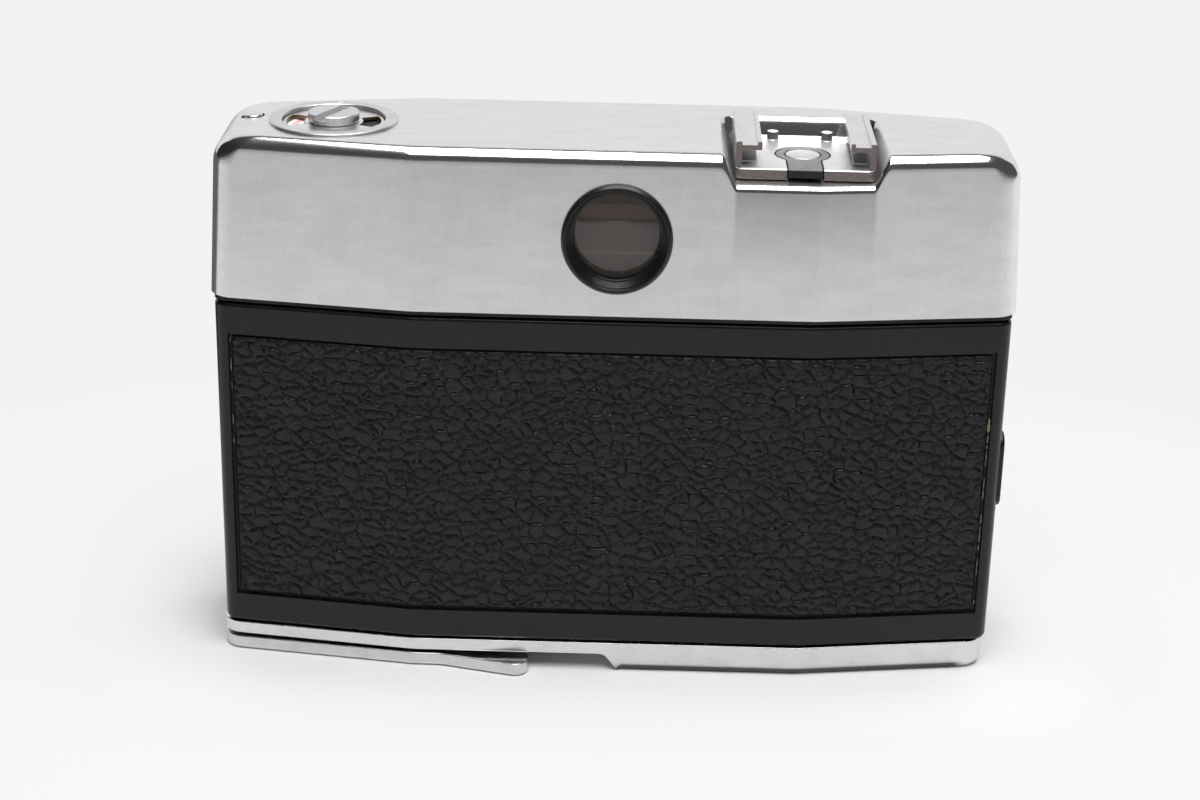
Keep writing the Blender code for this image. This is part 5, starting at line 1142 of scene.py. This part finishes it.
def stage_material(name, floor=False):
    """Paper that the camera, metal and glass see at a level of its own, and diffuse light treats as paper.
    On the floor this sets in away from the object, so that the paper around it keeps its shadow."""
    finish = Finish(name, floor_colour, 0.0, 0.8)
    total, remap = finish.sum, finish.remap
    finish.roughen(finish.noise(2, 3), 0.05)
    path = finish.add("LightPath").outputs
    mirrored = path["Is Glossy Ray"]
    seen = total(total(path["Is Camera Ray"], mirrored, "MAXIMUM"), path["Is Transmission Ray"], "MAXIMUM")
    level = background_level
    if floor:
        start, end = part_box("base_plate")
        inside = finish.place
        for corner, choice in ((start, "MAXIMUM"), (end, "MINIMUM")):
            bound = finish.add("VectorMath", _0=inside, _1=(corner.x, corner.y, 0.0))
            bound.operation = choice
            inside = bound.outputs["Vector"]
        distance = finish.add("VectorMath", _0=finish.place, _1=inside)
        distance.operation = "DISTANCE"
        away = distance.outputs["Value"]
        share = total(remap(away, *near_reach, 0.0, near_share), remap(away, *far_reach), "MAXIMUM")
        seen = total(seen, share, "MULTIPLY")
        spot = finish.add("SeparateXYZ", Vector=finish.place).outputs
        x, y = spot["X"], spot["Y"]
        dim = total(remap(x, *dim_x, 0.0, dim_share), remap(y, *dim_y), "MULTIPLY")
        set_back = total(total(-crease_x, x, "SUBTRACT"), 0.0, "MAXIMUM")
        behind = total(y, total(set_back, rear_slope, "MULTIPLY"))
        # Painted shadow: along the base's rear outline the floor turns dark for mirrors, down to the level set
        # above.
        contact = remap(behind, end.y + painted_shadow_reach[0], end.y + painted_shadow_reach[1], 1.0, 0.0)
        from_end = [start.x + step for step in painted_shadow_end]
        for value, span in ((y, painted_shadow_y), (x, from_end), (x, painted_shadow_middle)):
            contact = total(contact, remap(value, *span), "MULTIPLY")
        contact = total(contact, mirrored, "MULTIPLY")
        seen = total(seen, contact, "MAXIMUM")
        for loss in (total(dim, mirrored, "MULTIPLY"), total(contact, 1.0 - painted_shadow_level, "MULTIPLY")):
            level = total(total(1.0, loss, "SUBTRACT"), level, "MULTIPLY")
    glow = finish.add("Emission", Color=(0.992, 0.996, 1.0, 1.0), Strength=level)
    mix = finish.add("MixShader", _0=seen, _1=finish.shader.outputs["BSDF"], _2=glow.outputs["Emission"])
    finish.tree.links.new(mix.outputs["Shader"], finish.tree.nodes["Material Output"].inputs["Surface"])
    return finish.material


def add_plane(name, corners, material):
    mesh = bpy.data.meshes.new(name)
    mesh.from_pydata(corners, [], [range(len(corners))])
    mesh.materials.append(material)
    link_object(name, mesh)


def add_softbox(name, place, target, size, power):
    data = bpy.data.lights.new(name, "AREA")
    data.shape = "RECTANGLE"
    data.size, data.size_y = size
    data.energy = power
    lamp = link_object(name, data)
    lamp.location = place
    lamp.rotation_euler = (Vector(target) - Vector(place)).to_track_quat("-Z", "Y").to_euler()


def add_stage():
    reach, depth, height, edge = 1.6, 1.1, 1.3, 0.8
    add_plane("floor", [(-reach, -depth, 0), (reach, -depth, 0), (reach, edge, 0), (-reach, edge, 0)],
              stage_material("floor_paper", True))
    add_plane("backdrop", [(-reach, -depth, 0), (reach, -depth, 0), (reach, -depth, height),
                           (-reach, -depth, height)], stage_material("backdrop_paper"))
    add_softbox("overhead_softbox", (-0.06, 0.17, 0.64), (-0.06, 0.17, 0.0), (0.52, 0.72), 6.6)

    # A dim room, lighter to one side, behind which the camera sees the background's own level.
    world = bpy.data.worlds.new("studio")
    world.use_nodes = True
    tree = world.node_tree
    ground = tree.nodes["Background"]
    ground.inputs["Color"].default_value = (1.0, 1.0, 1.0, 1.0)
    way = add_node(tree, "SeparateXYZ", Vector=add_node(tree, "TexCoord").outputs["Generated"]).outputs["X"]
    room = add_node(tree, "MapRange", Value=way, From_Min=0.2, From_Max=0.85, To_Min=0.08, To_Max=0.025)
    seen = add_node(tree, "LightPath").outputs["Is Camera Ray"]
    pale = add_node(tree, "Math", _0=seen, _1=background_level)
    pale.operation = "MULTIPLY"
    strength = add_node(tree, "Math", _0=pale.outputs["Value"], _1=room.outputs["Result"])
    strength.operation = "MAXIMUM"
    tree.links.new(strength.outputs["Value"], ground.inputs["Strength"])
    bpy.context.scene.world = world
    bpy.context.scene.view_settings.view_transform = "Standard"


add_camera()
add_stage()
